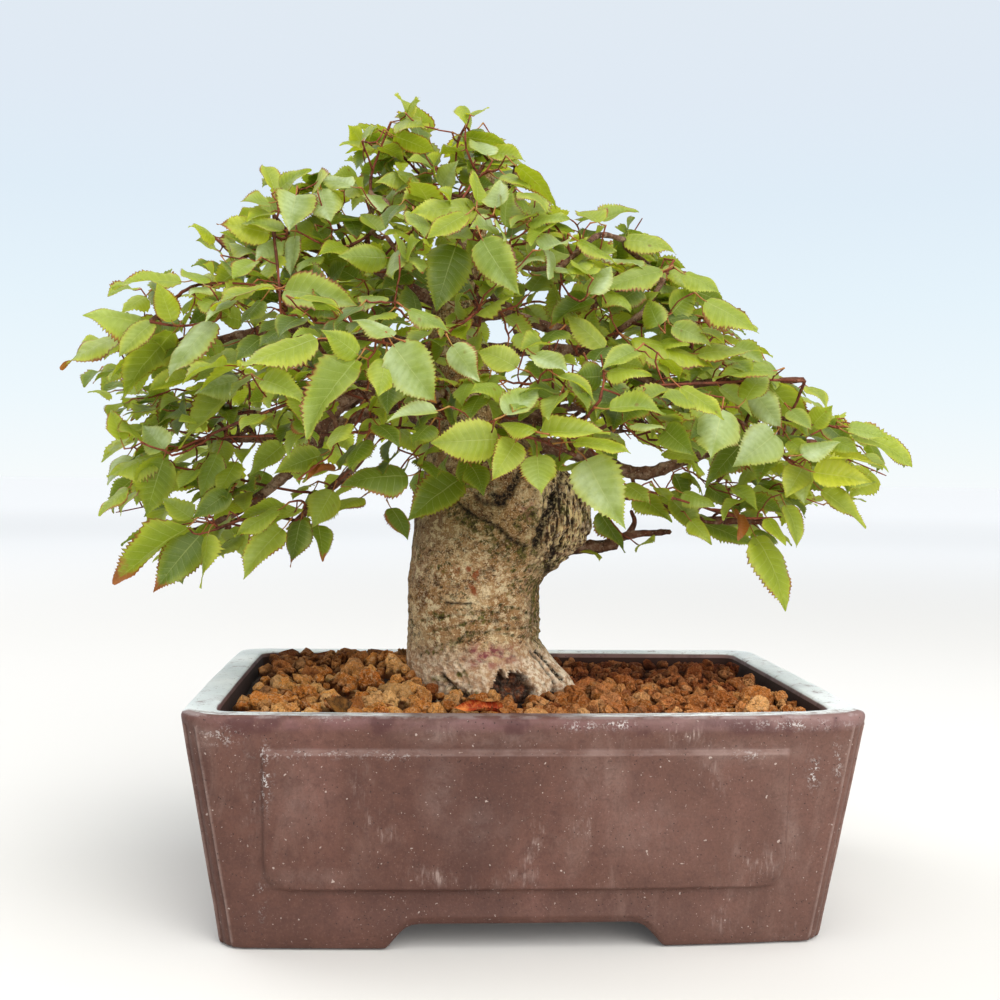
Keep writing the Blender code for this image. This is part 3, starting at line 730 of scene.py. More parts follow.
def clay_material():
    n = Nodes("unglazed_clay")
    obj = n.place()
    zone_r, ridge = n.split(n.attr("zone"))[:2]
    rub_a, rub_b, haze = n.split(n.attr("rubs"))
    crust = n.attr("rubs", "Alpha")
    sep = n.new("ShaderNodeSeparateXYZ")
    n.put(sep.inputs[0], n.coord.outputs["Object"])
    x, y, z = sep.outputs
    sunk = n.mul(n.mul(n.step(x, -0.105, -0.088), n.step(x, 0.104, 0.078)), n.step(y, -0.056, -0.063))
    z = n.add(z, n.mul(n.mul(sunk, n.mul(z, 1 / 0.068)), 0.00080))
    # broad drifts of the fired body, from dull purple-brown to a browner tone
    drift = n.noise(n.place((1, 1, 0.6)), 26, 4, 0.55, 0.6)
    base = n.ramp(drift, [(0.30, srgb("4a2c23")), (0.50, srgb("58372c")), (0.72, srgb("664238"))])
    mottle = n.noise(obj, 210, 5, 0.65)
    base = n.mix(n.step(mottle, 0.38, 0.70, 0.0, 0.50), base, srgb("432720"))
    # pale haze where lime has dried, in soft upright streaks
    streak = n.noise(n.place((1.0, 1.0, 0.35)), 75, 6, 0.7, 0.8)
    thin_haze = n.mul(n.step(streak, 0.48, 0.76), n.step(n.noise(n.place((1, 1, 1.2)), 17, 2, 0.5), 0.40, 0.66))
    base = n.mix(n.mul(thin_haze, 0.30), base, srgb("8c7267"))
    cloud = n.noise(obj, 130, 6, 0.75, 0.4)
    base = n.mix(n.mul(haze, n.step(cloud, 0.36, 0.66, 0.10, 0.62)), base, srgb("9a847b"))
    # painted light: the right-hand end is painted paler where light falls from the right
    base = n.mix(n.mul(n.step(x, -0.03, 0.10), 0.14), base, srgb("8b6c60"))
    # the corner ridges are rubbed pale, and painted paler still as a highlight along them
    base = n.mix(n.mul(ridge, n.step(cloud, 0.30, 0.60, 0.05, 0.55)), base, srgb("927b72"))
    # the foot is darker towards the bottom
    base = n.mix(n.step(z, 0.022, 0.003, 0.0, 0.16), base, srgb("3a231b"))
    # fine dark and light grain of the clay itself
    sand = n.noise(obj, 1250, 1.5, 0.6)
    base = n.mix(n.step(sand, 0.52, 0.66, 0.0, 0.20), base, srgb("2f1b16"))
    base = n.mix(n.step(sand, 0.40, 0.26, 0.0, 0.14), base, srgb("8a6a60"))
    # mauve bloom on the lip, with dark red runs
    lip = n.step(z, 0.0655, 0.0682)
    bloom = n.noise(n.place((1, 1, 2.0)), 60, 5, 0.65)
    base = n.mix(n.mul(lip, n.step(bloom, 0.30, 0.70, 0.04, 0.50)), base, srgb("7a5557"))
    # painted light: the lip is paler towards the right-hand end, where light falls from the right
    base = n.mix(n.mul(n.mul(lip, n.step(x, 0.0, 0.085)), 0.30), base, srgb("8f7672"))
    run = n.step(n.noise(n.place((1.0, 1.0, 0.6)), 55, 5, 0.6), 0.50, 0.60)
    band = n.mul(n.step(z, 0.0640, 0.0668), n.step(z, 0.0708, 0.0700))
    base = n.mix(n.mul(n.mul(run, band), 0.62), base, srgb("3f1c1c"))
    # the lip's top edge: worn pale, and partly a painted highlight where its round edge faces up
    worn = n.mul(n.step(z, 0.0698, 0.0706), n.step(n.noise(n.place((1, 1, 0.8)), 170, 5, 0.7), 0.42, 0.58, 0.05, 1.0))
    base = n.mix(n.mul(worn, 0.50), base, srgb("a39594"))
    # the panel's edges: a painted highlight along the top, painted shade below
    ax = n.math("ABSOLUTE", x)
    along = n.step(ax, 0.0775, 0.0755)
    panel_top_highlight = n.mul(n.mul(n.step(n.math("ABSOLUTE", n.add(z, -0.0604)), 0.0013, 0.0004), along), n.step(y, -0.04, -0.06))
    base = n.mix(n.mul(panel_top_highlight, n.step(n.noise(n.place((1, 1, 1)), 120, 4, 0.6), 0.3, 0.7, 0.10, 0.45)), base, srgb("8f7770"))
    panel_low_shade = n.mul(n.mul(n.step(n.math("ABSOLUTE", n.add(z, -0.0171)), 0.0010, 0.0003), n.step(ax, 0.072, 0.068)), n.step(y, -0.04, -0.06))
    base = n.mix(n.mul(panel_low_shade, 0.12), base, srgb("25130f"))
    # rim top: a thin skin of pale lime, worn through in flecks and bare in the middle of the front
    front = n.step(y, -0.066, -0.070)
    top = n.mul(n.step(n.add(z, n.mul(front, -0.0004)), 0.0699, 0.0704), n.step(n.add(zone_r, n.mul(front, -0.20)), 0.30, 0.49))
    skin = n.noise(obj, 150, 6, 0.7)
    skin2 = n.noise(obj, 34, 3, 0.55)
    cover = n.mul(n.step(skin, 0.28, 0.44), n.step(skin2, 0.26, 0.42, 0.6, 1.0))
    bare = n.mul(n.mul(n.step(y, -0.058, -0.064), n.step(x, -0.045, -0.030)), n.mul(n.step(x, 0.022, 0.006), 1.0))
    cover = n.mul(cover, n.math("SUBTRACT", 1.0, bare))
    pale = n.mix(n.step(n.noise(obj, 30, 3, 0.5), 0.35, 0.7), srgb("d2d9da"), srgb("f0f3f2"))
    streaky = n.noise(n.place((0.35, 1.6, 1.0)), 520, 4, 0.7)
    cover = n.mul(cover, n.mixf(front, 1.0, n.step(streaky, 0.42, 0.54, 0.15, 1.0)))
    base = n.mix(n.mul(n.mul(top, cover), 0.92), base, pale)
    chip = n.mul(top, n.step(n.noise(n.place((1, 2.2, 1)), 420, 4, 0.7), 0.60, 0.68))
    base = n.mix(n.mul(chip, 0.55), base, srgb("6c5750"))
    # inside of the wall: brown where wet soil touched it, and darkened as painted shade below the rim
    inner = n.step(zone_r, 0.86, 0.97)
    base = n.mix(n.mul(inner, 0.93), base, srgb("2c150c"))
    outside = n.step(zone_r, 0.80, 0.70)
    # scuffs: short fine scratches in two directions, close together where the clay was rubbed
    for mask, turn in ((rub_a, (0, 0.42, 0)), (rub_b, (0, -0.72, 0))):
        hair = n.noise(n.place((1, 1, 0.08), turn), 1300, 1.2, 0.6)
        soft = n.noise(n.place((1, 1, 0.6), turn), 190, 5, 0.75)
        lines = n.mul(n.step(hair, 0.52, 0.70), n.step(soft, 0.42, 0.66))
        base = n.mix(n.mul(n.mul(mask, n.add(n.mul(lines, 0.70), n.step(soft, 0.48, 0.70, 0.0, 0.34))), outside), base, srgb("a08b82"))
    # crusts of lime
    crumbs = n.mul(n.step(n.noise(obj, 1400, 2, 0.65), 0.47, 0.58), n.step(n.noise(obj, 420, 3, 0.7), 0.47, 0.55))
    crusted = n.mul(n.mul(crust, crumbs), outside)
    base = n.mix(n.mul(crusted, 0.85, clamp=True), base, srgb("d2cbc6"))
    # small pale specks all over, larger and smaller
    marks = crusted
    for turn, scale, low, high, amount in (((0, 0, 0), 520, 0.765, 0.80, 0.62), ((0.5, 0.2, 0.1), 900, 0.745, 0.79, 0.50), ((0.2, 0.7, 0.4), 1500, 0.73, 0.79, 0.36)):
        spot = n.mul(n.step(n.noise(n.place((1, 1, 1), turn), scale, 1.0, 0.5), low, high), outside)
        base = n.mix(n.mul(spot, amount), base, srgb("bba99e"))
        marks = n.math("MAXIMUM", marks, spot)
    dots = n.mul(n.step(n.cells(obj, 260, "F1"), 0.085, 0.03), n.step(n.split(n.cells(obj, 260, "F1", "Color"))[0], 0.88, 0.98))
    base = n.mix(n.mul(n.mul(dots, outside), 0.60), base, srgb("cbbbae"))
    # tiny dark pits
    pit = n.mul(n.step(n.cells(n.place((1.1, 0.9, 1.0)), 700, "F1"), 0.20, 0.10), n.step(n.split(n.cells(n.place((1.1, 0.9, 1.0)), 700, "F1", "Color"))[1], 0.74, 0.8))
    base = n.mix(n.mul(pit, 0.75), base, srgb("24130f"))
    rough = n.add(n.mul(mottle, 0.22), 0.50)
    rough = n.add(rough, n.mul(thin_haze, 0.10))
    rough = n.mixf(n.mul(top, 0.9), rough, n.add(n.mul(skin, 0.25), 0.34))
    rough = n.mixf(inner, rough, 0.95)
    height = n.add(n.mul(sand, 0.45), n.mul(n.noise(obj, 380, 4, 0.6), 0.7))
    height = n.add(height, n.mul(marks, 0.6))
    height = n.add(height, n.mul(pit, -1.4))
    normal = n.bump(height, 0.50, 0.00035)
    n.finish(base, rough, normal)
    n.shader.inputs["Specular IOR Level"].default_value = 0.36
    return n.mat


# ------------------------------------------------------------------ soil

SOIL_LEVEL = 66.0


def soil_height(x, y):
    left = smoothstep(8, -52, x)
    back = smoothstep(-35, 45, y)
    heap = 4.8 * np.exp(-(((x + 42) / 16) ** 2 + ((y - 4) / 24) ** 2)) + 2.4 * np.exp(-(((x + 14) / 40) ** 2 + ((y - 12) / 30) ** 2))
    p = np.stack([x, y, np.zeros_like(x)], axis=-1).reshape(-1, 3)
    return SOIL_LEVEL + 0.2 + left * (2.2 + 1.9 * back) + heap + (0.9 * noise3(p, 0.08, 2.0)).reshape(np.shape(x))


def trunk_reach(theta, z):
    """Distance from the trunk's axis to its bark, seen from above."""
    left, right, front, back = trunk_section(z)
    cx, cy = (left + right) / 2, (front + back) / 2
    rx, ry = (right - left) / 2, (back - front) / 2
    return cx, cy, rx, ry


def icosphere(sub):
    bm = bmesh.new()
    bmesh.ops.create_icosphere(bm, subdivisions=sub, radius=1.0)
    verts = np.array([v.co[:] for v in bm.verts])
    faces = np.array([[v.index for v in f.verts] for f in bm.faces])
    bm.free()
    return verts, faces


def drop_grains(rng, attempts):
    """Grains laid down one by one on those already there, as loose grains settle."""
    X, Y, Z, R = [], [], [], []
    lim_x, lim_y = RIM_HALF_X - wall_inset(64) - 0.7, RIM_HALF_Y - wall_inset(64) - 0.7
    xs = np.empty(attempts); ys = np.empty(attempts); zs = np.empty(attempts); rs = np.empty(attempts)
    n = 0
    cx, cy, rx, ry = trunk_reach(0, 68.0)
    for k in range(attempts):
        side = rng.uniform(-1, 1)
        size = 4.3 if side < -0.1 else 3.6
        r = float(np.clip(rng.lognormal(math.log(size), 0.26), 2.2, 6.6)) if k < attempts * 0.72 else float(rng.uniform(1.1, 2.3))
        x = side * (lim_x - r)
        y = rng.uniform(-lim_y + r, lim_y - r)
        # not inside the trunk
        e = math.hypot((x - cx) / (rx + 0.35 * r), (y - cy) / (ry + 0.35 * r))
        if e < 0.97:
            continue
        top = float(soil_height(np.array([x]), np.array([y]))[0]) - 2.4 * float(smoothstep(-80, -88, x)) - 3.4 * math.exp(-(((x + 56) / 8.5) ** 2 + ((y + 57) / 9.0) ** 2)) - 3.2 * math.exp(-(((x + 18) / 9.0) ** 2 + ((y + 59) / 7.5) ** 2))
        z = top - 9.0
        if n:
            d2 = (xs[:n] - x) ** 2 + (ys[:n] - y) ** 2
            reach = (rs[:n] + r) * 0.90
            hit = d2 < reach**2
            if hit.any():
                z = max(z, float((zs[:n][hit] + np.sqrt(reach[hit] ** 2 - d2[hit])).max()))
        if z + r > top + 1.9 + rng.uniform(-1.2, 1.5):
            continue
        xs[n], ys[n], zs[n], rs[n] = x, y, z, r
        n += 1
    return xs[:n], ys[:n], zs[:n], rs[:n]


def make_soil(grain_mat, bed_mat):
    rng = np.random.RandomState(5)
    pieces = []
    # The bed under the grains, closed, down to the pot's floor
    def inner(z, extra=0.35):
        inset = wall_inset(z) + extra
        a, b, r = RIM_HALF_X - inset, RIM_HALF_Y - inset, INNER_CORNER
        pts = []
        for sx, sy, order in ((1, 1, 1), (-1, 1, -1), (-1, -1, 1), (1, -1, -1)):
            arc = [(a - r + r * math.cos(t), b - r + r * math.sin(t)) for t in np.linspace(0, math.pi / 2, 7)]
            arc = arc if order == 1 else arc[::-1]
            pts += [(sx * x, sy * y) for x, y in arc]
        # evenly spaced points round the outline
        pts = np.array(pts + pts[:1])
        seg = np.linalg.norm(np.diff(pts, axis=0), axis=1)
        at = np.concatenate([[0], np.cumsum(seg)])
        want = np.linspace(0, at[-1], 241)[:-1]
        return np.stack([np.interp(want, at, pts[:, 0]), np.interp(want, at, pts[:, 1])], axis=1)

    loops = []
    for z, extra in ((FLOOR_TOP + 3.4, 2.4), (FLOOR_TOP + 5.0, 0.35), (40, 0.35), (58, 0.35)):
        p = inner(z, extra)
        loops.append(np.column_stack([p, np.full(len(p), float(z))]))
    edge = inner(62.0)
    for f in (1.0, 0.97, 0.93, 0.89, 0.84, 0.79, 0.74, 0.69, 0.64, 0.59, 0.54, 0.49, 0.44, 0.39, 0.34, 0.29, 0.24, 0.19, 0.14, 0.09, 0.05):
        p = edge * f
        z = soil_height(p[:, 0], p[:, 1]) - 3.3 - (1.2 if f == 1.0 else 0.0)
        z = z + fbm(np.column_stack([p, np.zeros(len(p))]), 0.33, 2, 8.0) * 0.9
        loops.append(np.column_stack([p, z]))
    around = len(edge)
    verts = np.concatenate(loops)
    faces = ring_faces(len(loops), around).tolist()
    n = len(verts)
    verts = np.concatenate([verts, [(0, 0, FLOOR_TOP + 3.4)], [(0, 0, loops[-1][:, 2].mean())]])
    last = (len(loops) - 1) * around
    for i in range(around):
        j = (i + 1) % around
        faces.append([j, i, n])
        faces.append([last + i, last + j, n + 1])
    bed = make_mesh("soil_bed_fines", verts, faces, bed_mat)
    outward(bed)
    pieces.append(bed)

    gx, gy, gz, gr = drop_grains(rng, 8000)
    top = soil_height(gx, gy)
    shown = gz + gr > top - 4.0
    gx, gy, gz, gr, top = (a[shown] for a in (gx, gy, gz, gr, top))
    hi, hf = icosphere(3)  # 320 faces
    lo, lf = icosphere(2)  # 80 faces
    zones = {"left": Gather(), "middle": Gather(), "right": Gather()}
    order = np.argsort(-(gz + gr - top) + 0.03 * np.maximum(gy, -20))
    big = np.zeros(len(gx), bool)
    big[order[: 480]] = True
    for i in range(len(gx)):
        fine = big[i] and gr[i] > 1.6
        v, f = (hi, hf) if fine else (lo, lf)
        seed = rng.uniform(0, 900, 3)
        # a broken, porous lump: soft-edged flat faces, then bites and crumbs
        cuts = rng.normal(size=(9, 3))
        cuts /= np.linalg.norm(cuts, axis=1)[:, None]
        reach = rng.uniform(0.62, 1.04, 9)
        along = v @ cuts.T
        with_cut = np.where(along > 0.08, reach / np.maximum(along, 0.08), 9.0)
        lump = (np.exp(-10 * with_cut).sum(1) + math.exp(-10 * 1.22)) ** -1
        lump = np.log(lump) / 10
        lump = np.clip(lump, 0.55, 1.3) * 1.08
        rough = 0.20 * noise3(v * 2.1 + seed)
        if fine:
            mid = noise3(v * 4.3 + seed + 31)
            rough = rough + 0.17 * mid - 0.16 * np.clip(-mid - 0.12, 0, 1) + 0.12 * noise3(v * 8.5 + seed + 57)
        lump = lump + rough
        stretch = rng.uniform(0.74, 1.28, 3)
        stretch /= stretch.prod() ** (1 / 3)
        p = v * lump[:, None] * stretch * gr[i] * 1.08
        q = rng.normal(size=4)
        q /= np.linalg.norm(q)
        w, a, b, c = q
        rot = np.array([
            [1 - 2 * (b * b + c * c), 2 * (a * b - c * w), 2 * (a * c + b * w)],
            [2 * (a * b + c * w), 1 - 2 * (a * a + c * c), 2 * (b * c - a * w)],
            [2 * (a * c - b * w), 2 * (b * c + a * w), 1 - 2 * (a * a + b * b)],
        ])
        p = p @ rot.T + (gx[i], gy[i], gz[i])
        # wetter, and painted darker as the crown's shade, towards the right and the back
        damp_and_shade = float(np.clip(0.04 + smoothstep(-45, 12, gx[i]) * 0.58 + smoothstep(-22, 28, gy[i]) * 0.50 - smoothstep(55, 88, gx[i]) * 0.16 + rng.normal() * 0.13, 0, 1))
        tone = rng.uniform(0, 1)
        kind = rng.uniform(0, 1)
        # painted shade: how sheltered each point is, low down among the others, on a grain's underside, in its bites,
        # and towards the back under the crown
        low = smoothstep(0.2, 4.2, top[i] + 1.6 - p[:, 2])
        under = smoothstep(0.1, -0.9, (p[:, 2] - gz[i]) / gr[i])
        bite = smoothstep(0.02, -0.2, rough)
        far = smoothstep(-20, 34, p[:, 1])
        # and painted shade close to its neighbours
        near = np.hypot(gx - gx[i], gy - gy[i]) < gr + gr[i] + 2.0
        near[i] = False
        gap = np.full(len(p), 9.0)
        for j in np.nonzero(near)[0]:
            gap = np.minimum(gap, np.sqrt(((p - (gx[j], gy[j], gz[j])) ** 2).sum(1)) - gr[j] * 1.02)
        touch = smoothstep(1.25, 0.05, gap)
        deep = np.clip(1 - (1 - 0.85 * low) * (1 - 0.72 * under) * (1 - 0.75 * bite) * (1 - 0.66 * far) * (1 - 0.80 * touch), 0, 1)
        key = "left" if gx[i] < -38 else ("right" if gx[i] > 30 else "middle")
        zones[key].add(p, f, grain=(tone, damp_and_shade, kind), deep=np.stack([deep] * 3, axis=1))
    for key, g in zones.items():
        pieces.append(g.build("soil_grains_" + key, grain_mat, sharp=28))
    return pieces


def grain_material():
    n = Nodes("fired_clay_grain")
    obj = n.place()
    tone, damp_and_shade, kind = n.split(n.attr("grain"))
    deep = n.split(n.attr("deep"))[0]
    dry = n.ramp(tone, [(0.0, srgb("d2762c")), (0.35, srgb("ec9744")), (0.7, srgb("faaf5e")), (1.0, srgb("fec47e"))])
    wet = n.ramp(tone, [(0.0, srgb("88401e")), (0.4, srgb("b05a2a")), (0.75, srgb("d87a44")), (1.0, srgb("ec9a60"))])
    base = n.mix(damp_and_shade, dry, wet)
    blot = n.noise(obj, 230, 3, 0.6)
    base = n.mix(n.step(blot, 0.46, 0.70, 0.0, 0.42), base, n.mix(damp_and_shade, srgb("84491c"), srgb("421e0d")))
    crumb = n.noise(obj, 520, 4, 0.72)
    base = n.mix(n.step(crumb, 0.45, 0.34, 0.0, 0.36), base, n.mix(damp_and_shade, srgb("5e3012"), srgb("2c1408")))
    base = n.mix(n.step(crumb, 0.52, 0.63, 0.0, 0.60), base, n.mix(damp_and_shade, srgb("f0c492"), srgb("d08c58")))
    pore = n.noise(n.place((1, 1, 1), (0.4, 0.2, 0.7)), 1150, 1.2, 0.6)
    base = n.mix(n.step(pore, 0.66, 0.74, 0.0, 0.32), base, n.mix(damp_and_shade, srgb("4a220d"), srgb("241007")))
    grit = n.noise(obj, 2100, 2, 0.7)
    base = n.mix(n.step(grit, 0.53, 0.68, 0.0, 0.42), base, n.mix(damp_and_shade, srgb("743c16"), srgb("3c1a0a")))
    base = n.mix(n.step(grit, 0.47, 0.33, 0.0, 0.40), base, n.mix(damp_and_shade, srgb("ffdcaa"), srgb("dca070")))
    # the odd grain is dark red or greyish
    base = n.mix(n.step(kind, 0.88, 0.95, 0.0, 0.6), base, srgb("74301a"))
    base = n.mix(n.step(kind, 0.06, 0.02, 0.0, 0.40), base, srgb("7a6244"))
    # painted shade where the grain is sheltered
    base = n.mix(n.mul(n.step(deep, 0.40, 0.96), 0.94), base, n.mix(damp_and_shade, srgb("4a1e08"), srgb("240e05")))
    height = n.add(n.mul(crumb, 1.6), n.mul(n.cells(obj, 800, "F1"), 0.35))
    height = n.add(height, n.mul(pore, -0.5))
    normal = n.bump(height, 1.0, 0.0028)
    n.finish(base, 0.95, normal)
    n.shader.inputs["Specular IOR Level"].default_value = 0.12
    return n.mat


def bed_material():
    n = Nodes("soil_fines")
    obj = n.place()
    base = n.ramp(n.noise(obj, 420, 5, 0.65), [(0.3, srgb("1a0c06")), (0.55, srgb("2c160b")), (0.75, srgb("452410"))])
    normal = n.bump(n.noise(obj, 900, 5, 0.7), 0.9, 0.0008)
    n.finish(base, 0.95, normal)
    return n.mat


# ------------------------------------------------------------------ trunk

TRUNK_SECTIONS = (
    (42, -22, -2, -12, 12), (52, -28, 8, -20, 20), (60, -31.5, 16, -26, 24), (66, -33.5, 20, -28, 25),
    (71, -35, 18.5, -27, 24.5), (77, -36, 14, -24.5, 24), (85, -36, 9, -22.5, 22), (94, -36, 8.8, -22, 21.5),
    (101, -36, 9, -22, 21.5), (107, -35.6, 12.5, -22.5, 22), (113, -35, 19, -23, 22.5), (118, -34.5, 24, -24, 23),
    (124, -33.6, 26, -25, 23.5), (131, -32.4, 25, -25, 23), (138, -31.2, 21, -24, 22), (144, -30.4, 14, -21, 20),
    (150, -29.5, 6, -17, 17), (158, -29, -1, -14, 14), (168, -29.5, -6, -11.5, 11.5), (180, -30, -11, -9.5, 9.5),
    (194, -29, -14.5, -7, 7.5), (208, -25, -13, -5, 6.5), (222, -20, -10.5, -4, 5.5), (236, -15.5, -8.5, -3, 4.5),
    (248, -12, -7, -2, 3.2),
)
_TS = np.array(TRUNK_SECTIONS, float)


def trunk_section(z):
    """Left, right, front and back of the trunk at a height, on a smooth curve."""
    zs = _TS[:, 0]
    i = int(np.clip(np.searchsorted(zs, z) - 1, 0, len(zs) - 2))
    h = zs[i + 1] - zs[i]
    t = float(np.clip((z - zs[i]) / h, 0, 1))

    def slope(k):
        if k == 0 or k == len(zs) - 1:
            return np.zeros(4)
        a = (_TS[k, 1:] - _TS[k - 1, 1:]) / (zs[k] - zs[k - 1])
        b = (_TS[k + 1, 1:] - _TS[k, 1:]) / (zs[k + 1] - zs[k])
        return np.where(a * b > 0, 2 * a * b / np.where(a + b == 0, 1, a + b), 0.0)

    m0, m1 = slope(i) * h, slope(i + 1) * h
    p0, p1 = _TS[i, 1:], _TS[i + 1, 1:]
    return (2 * t**3 - 3 * t**2 + 1) * p0 + (t**3 - 2 * t**2 + t) * m0 + (3 * t**2 - 2 * t**3) * p1 + (t**3 - t**2) * m1


def seg_dist(px, py, line):
    """Distance of picture points from a polyline."""
    best = np.full(np.shape(px), 1e9)
    for (x0, y0), (x1, y1) in zip(line, line[1:]):
        dx, dy = x1 - x0, y1 - y0
        t = np.clip(((px - x0) * dx + (py - y0) * dy) / (dx * dx + dy * dy), 0, 1)
        best = np.minimum(best, np.hypot(px - x0 - t * dx, py - y0 - t * dy))
    return best


def make_trunk(mat):
    cols = 340
    rows = [42, 46, 50, 53, 56] + list(np.arange(58.5, 66, 0.9)) + list(np.arange(66, 150, 0.72)) + list(np.arange(150, 248.01, 1.7))
    theta = 2 * np.pi * np.arange(cols) / cols
    P, N = [], []
    for z in rows:
        left, right, front, back = trunk_section(z)
        cx, cy, rx, ry = (left + right) / 2, (front + back) / 2, (right - left) / 2, (back - front) / 2
        flare = max(0.0, 1 - abs(z - 66) / 13)
        ct, snt = np.cos(theta), np.sin(theta)
        lobes = 1 + flare * (0.05 * np.cos(5 * theta + 0.6) + 0.035 * np.cos(9 * theta + 2.0)) + 0.02 * noise3(np.column_stack([3 * ct, 3 * snt, np.full(cols, z * 0.05)]))
        x = cx + rx * lobes * ct
        y = cy + ry * lobes * snt
        P.append(np.column_stack([x, y, np.full(cols, z)]))
        nn = np.column_stack([ct / rx, snt / ry, np.zeros(cols)])
        N.append(nn / np.linalg.norm(nn, axis=1)[:, None])
    P, N = np.concatenate(P), np.concatenate(N)
    z = P[:, 2]
    px, py, depth = project(P)
    toward = -(N @ CAM_F)
    front = smoothstep(-0.05, 0.25, toward)
    hidden = 1 - front
    d = np.zeros(len(P))
    dark = np.zeros(len(P)); moss = np.zeros(len(P)); pink = np.zeros(len(P)); pale = np.zeros(len(P)); fibre = np.zeros(len(P))

    # Form: soft muscles and hollows of the wood
    d += 0.75 * noise3(P * (1, 1, 0.6), 1 / 17, 1.0) * smoothstep(60, 75, z)
    d += 0.28 * noise3(P * (1, 1, 0.8), 1 / 6, 2.0)
    d += 0.17 * noise3(P, 1 / 2.6, 3.0) + 0.10 * noise3(P, 1 / 1.2, 4.0)

    # The burl at the right: coarse upright fibres and a deep crevice on its inner side
    ang = np.arctan2(P[:, 1], P[:, 0] - 4)
    burl = smoothstep(2, 12, P[:, 0]) * smoothstep(104, 113, z) * smoothstep(150, 138, z)
    lines = noise3(np.column_stack([P[:, 0] * 0.9, P[:, 1] * 0.9, z * 0.13]), 1.0, 7.0)
    lines2 = noise3(np.column_stack([P[:, 0] * 1.9, P[:, 1] * 1.9, z * 0.3]), 1.0, 8.0)
    shag = noise3(np.column_stack([P[:, 0] * 1.1, P[:, 1] * 1.1, z * 0.5]), 1.0, 7.5)
    d += burl * (1.35 * lines + 0.75 * lines2 + 0.55 * shag)
    fibre = np.maximum(fibre, burl)
    # the burl's grooves are darkened and its ridges paled: partly the fibres' own colour, partly painted shade and
    # light
    dark = np.maximum(dark, burl * smoothstep(0.08, 0.55, -(lines * 0.75 + lines2 * 0.45 + shag * 0.25)) * 0.95)
    pale = np.maximum(pale, burl * smoothstep(0.1, 0.7, lines * 0.6 + lines2 * 0.5 + shag * 0.3))
    moss = np.maximum(moss, burl * smoothstep(0.0, 0.6, noise3(P, 1 / 5, 9.0)) * 0.65)

    # stamp sinks a groove along a line of the picture and darkens it: the dark of the crack itself, with painted shade
    # in the groove
    def stamp(line, width, depth_mm, dark_amt=0.0, soft=1.0, side=front):
        nonlocal d, dark
        dist = seg_dist(px, py, line)
        wob = 1 + 0.45 * noise3(P, 1 / 2.5, 12.0) + 0.25 * noise3(P, 1 / 1.0, 12.5)
        m = np.exp(-((dist / (width * wob.clip(0.4))) ** 2)) * side
        d -= depth_mm * m
        dark = np.maximum(dark, smoothstep(0.22, 0.72, m) * dark_amt)
        return m

    stamp([(558, 492), (554, 506), (547, 519), (541, 532), (538, 545)], 5.0, 3.2, 1.0, 0.7)
    stamp([(563, 478), (560, 488), (556, 497)], 4.5, 1.6, 0.7)
    stamp([(556, 540), (553, 555), (548, 570), (545, 580)], 2.6, 1.6, 0.95)
    d += 1.3 * np.exp(-(((px - 553) / 5) ** 2 + ((py - 568) / 4.5) ** 2)) * (toward > -0.4)
    stamp([(566, 530), (561, 542), (556, 556)], 1.8, 1.0, 0.7)
    # Old cut, black and sunk, with a swollen lip
    scar = stamp([(476, 497), (484, 503), (494, 503)], 3.2, 1.2, 0.8)
    scar2 = stamp([(494, 494), (500, 503), (506, 497), (515, 484), (524, 472)], 5.0, 2.2, 1.0, 0.55)
    ringd = np.abs(np.hypot(px - 500, (py - 503) * 1.1) - 8.5)
    d += 0.7 * np.exp(-((ringd / 2.4) ** 2)) * front
    d += 1.0 * np.exp(-(((px - 484) / 7) ** 2 + ((py - 493) / 4) ** 2)) * front
    # Long slanting crack with a raised fold above it and moss below
    crack = [(449, 495), (456, 501), (463, 508), (474, 516), (486, 521), (498, 528), (508, 537), (517, 543), (526, 547)]
    fold = [(452, 491), (466, 502), (478, 511), (490, 516), (503, 524), (514, 534), (526, 541)]
    stamp(crack, 1.7, 1.5, 1.0, 0.8)
    d += 0.75 * np.exp(-((seg_dist(px, py, fold) / 4.5) ** 2)) * front
    moss_line = [(452, 508), (466, 517), (480, 527), (494, 535), (508, 546), (522, 551), (534, 548)]
    moss = np.maximum(moss, 1.0 * np.exp(-((seg_dist(px, py, moss_line) / 7.5) ** 2)) * front * smoothstep(-0.45, 0.15, noise3(P, 1 / 2.2, 14.0) + 0.4 * noise3(P, 1 / 0.9, 14.5)))
    moss = np.maximum(moss, np.exp(-((seg_dist(px, py, [(428, 552), (434, 566), (442, 566)]) / 6.0) ** 2)) * front * smoothstep(0, 0.4, noise3(P, 1 / 1.8, 15.0)) * 0.8)
    moss = np.maximum(moss, np.exp(-((seg_dist(px, py, [(536, 590), (534, 612), (537, 634)]) / 7.0) ** 2)) * smoothstep(-0.1, 0.4, noise3(P, 1 / 2.0, 16.0)) * 0.8)
    moss = np.maximum(moss, np.exp(-((seg_dist(px, py, [(422, 656), (440, 648), (456, 640), (480, 621), (505, 612)]) / 4.5) ** 2)) * front * smoothstep(-0.1, 0.4, noise3(P, 1 / 1.5, 17.0)) * 0.7)
    # Small crosswise cracks
    stamp([(444, 603), (452, 604), (462, 603), (470, 603)], 1.2, 0.9, 1.0)
    stamp([(433, 580), (437, 585), (442, 588)], 1.0, 0.6, 1.0)
    stamp([(491, 566), (494, 571)], 1.1, 0.7, 1.0)
    stamp([(500, 553), (507, 557), (511, 562)], 1.3, 0.7, 0.8)
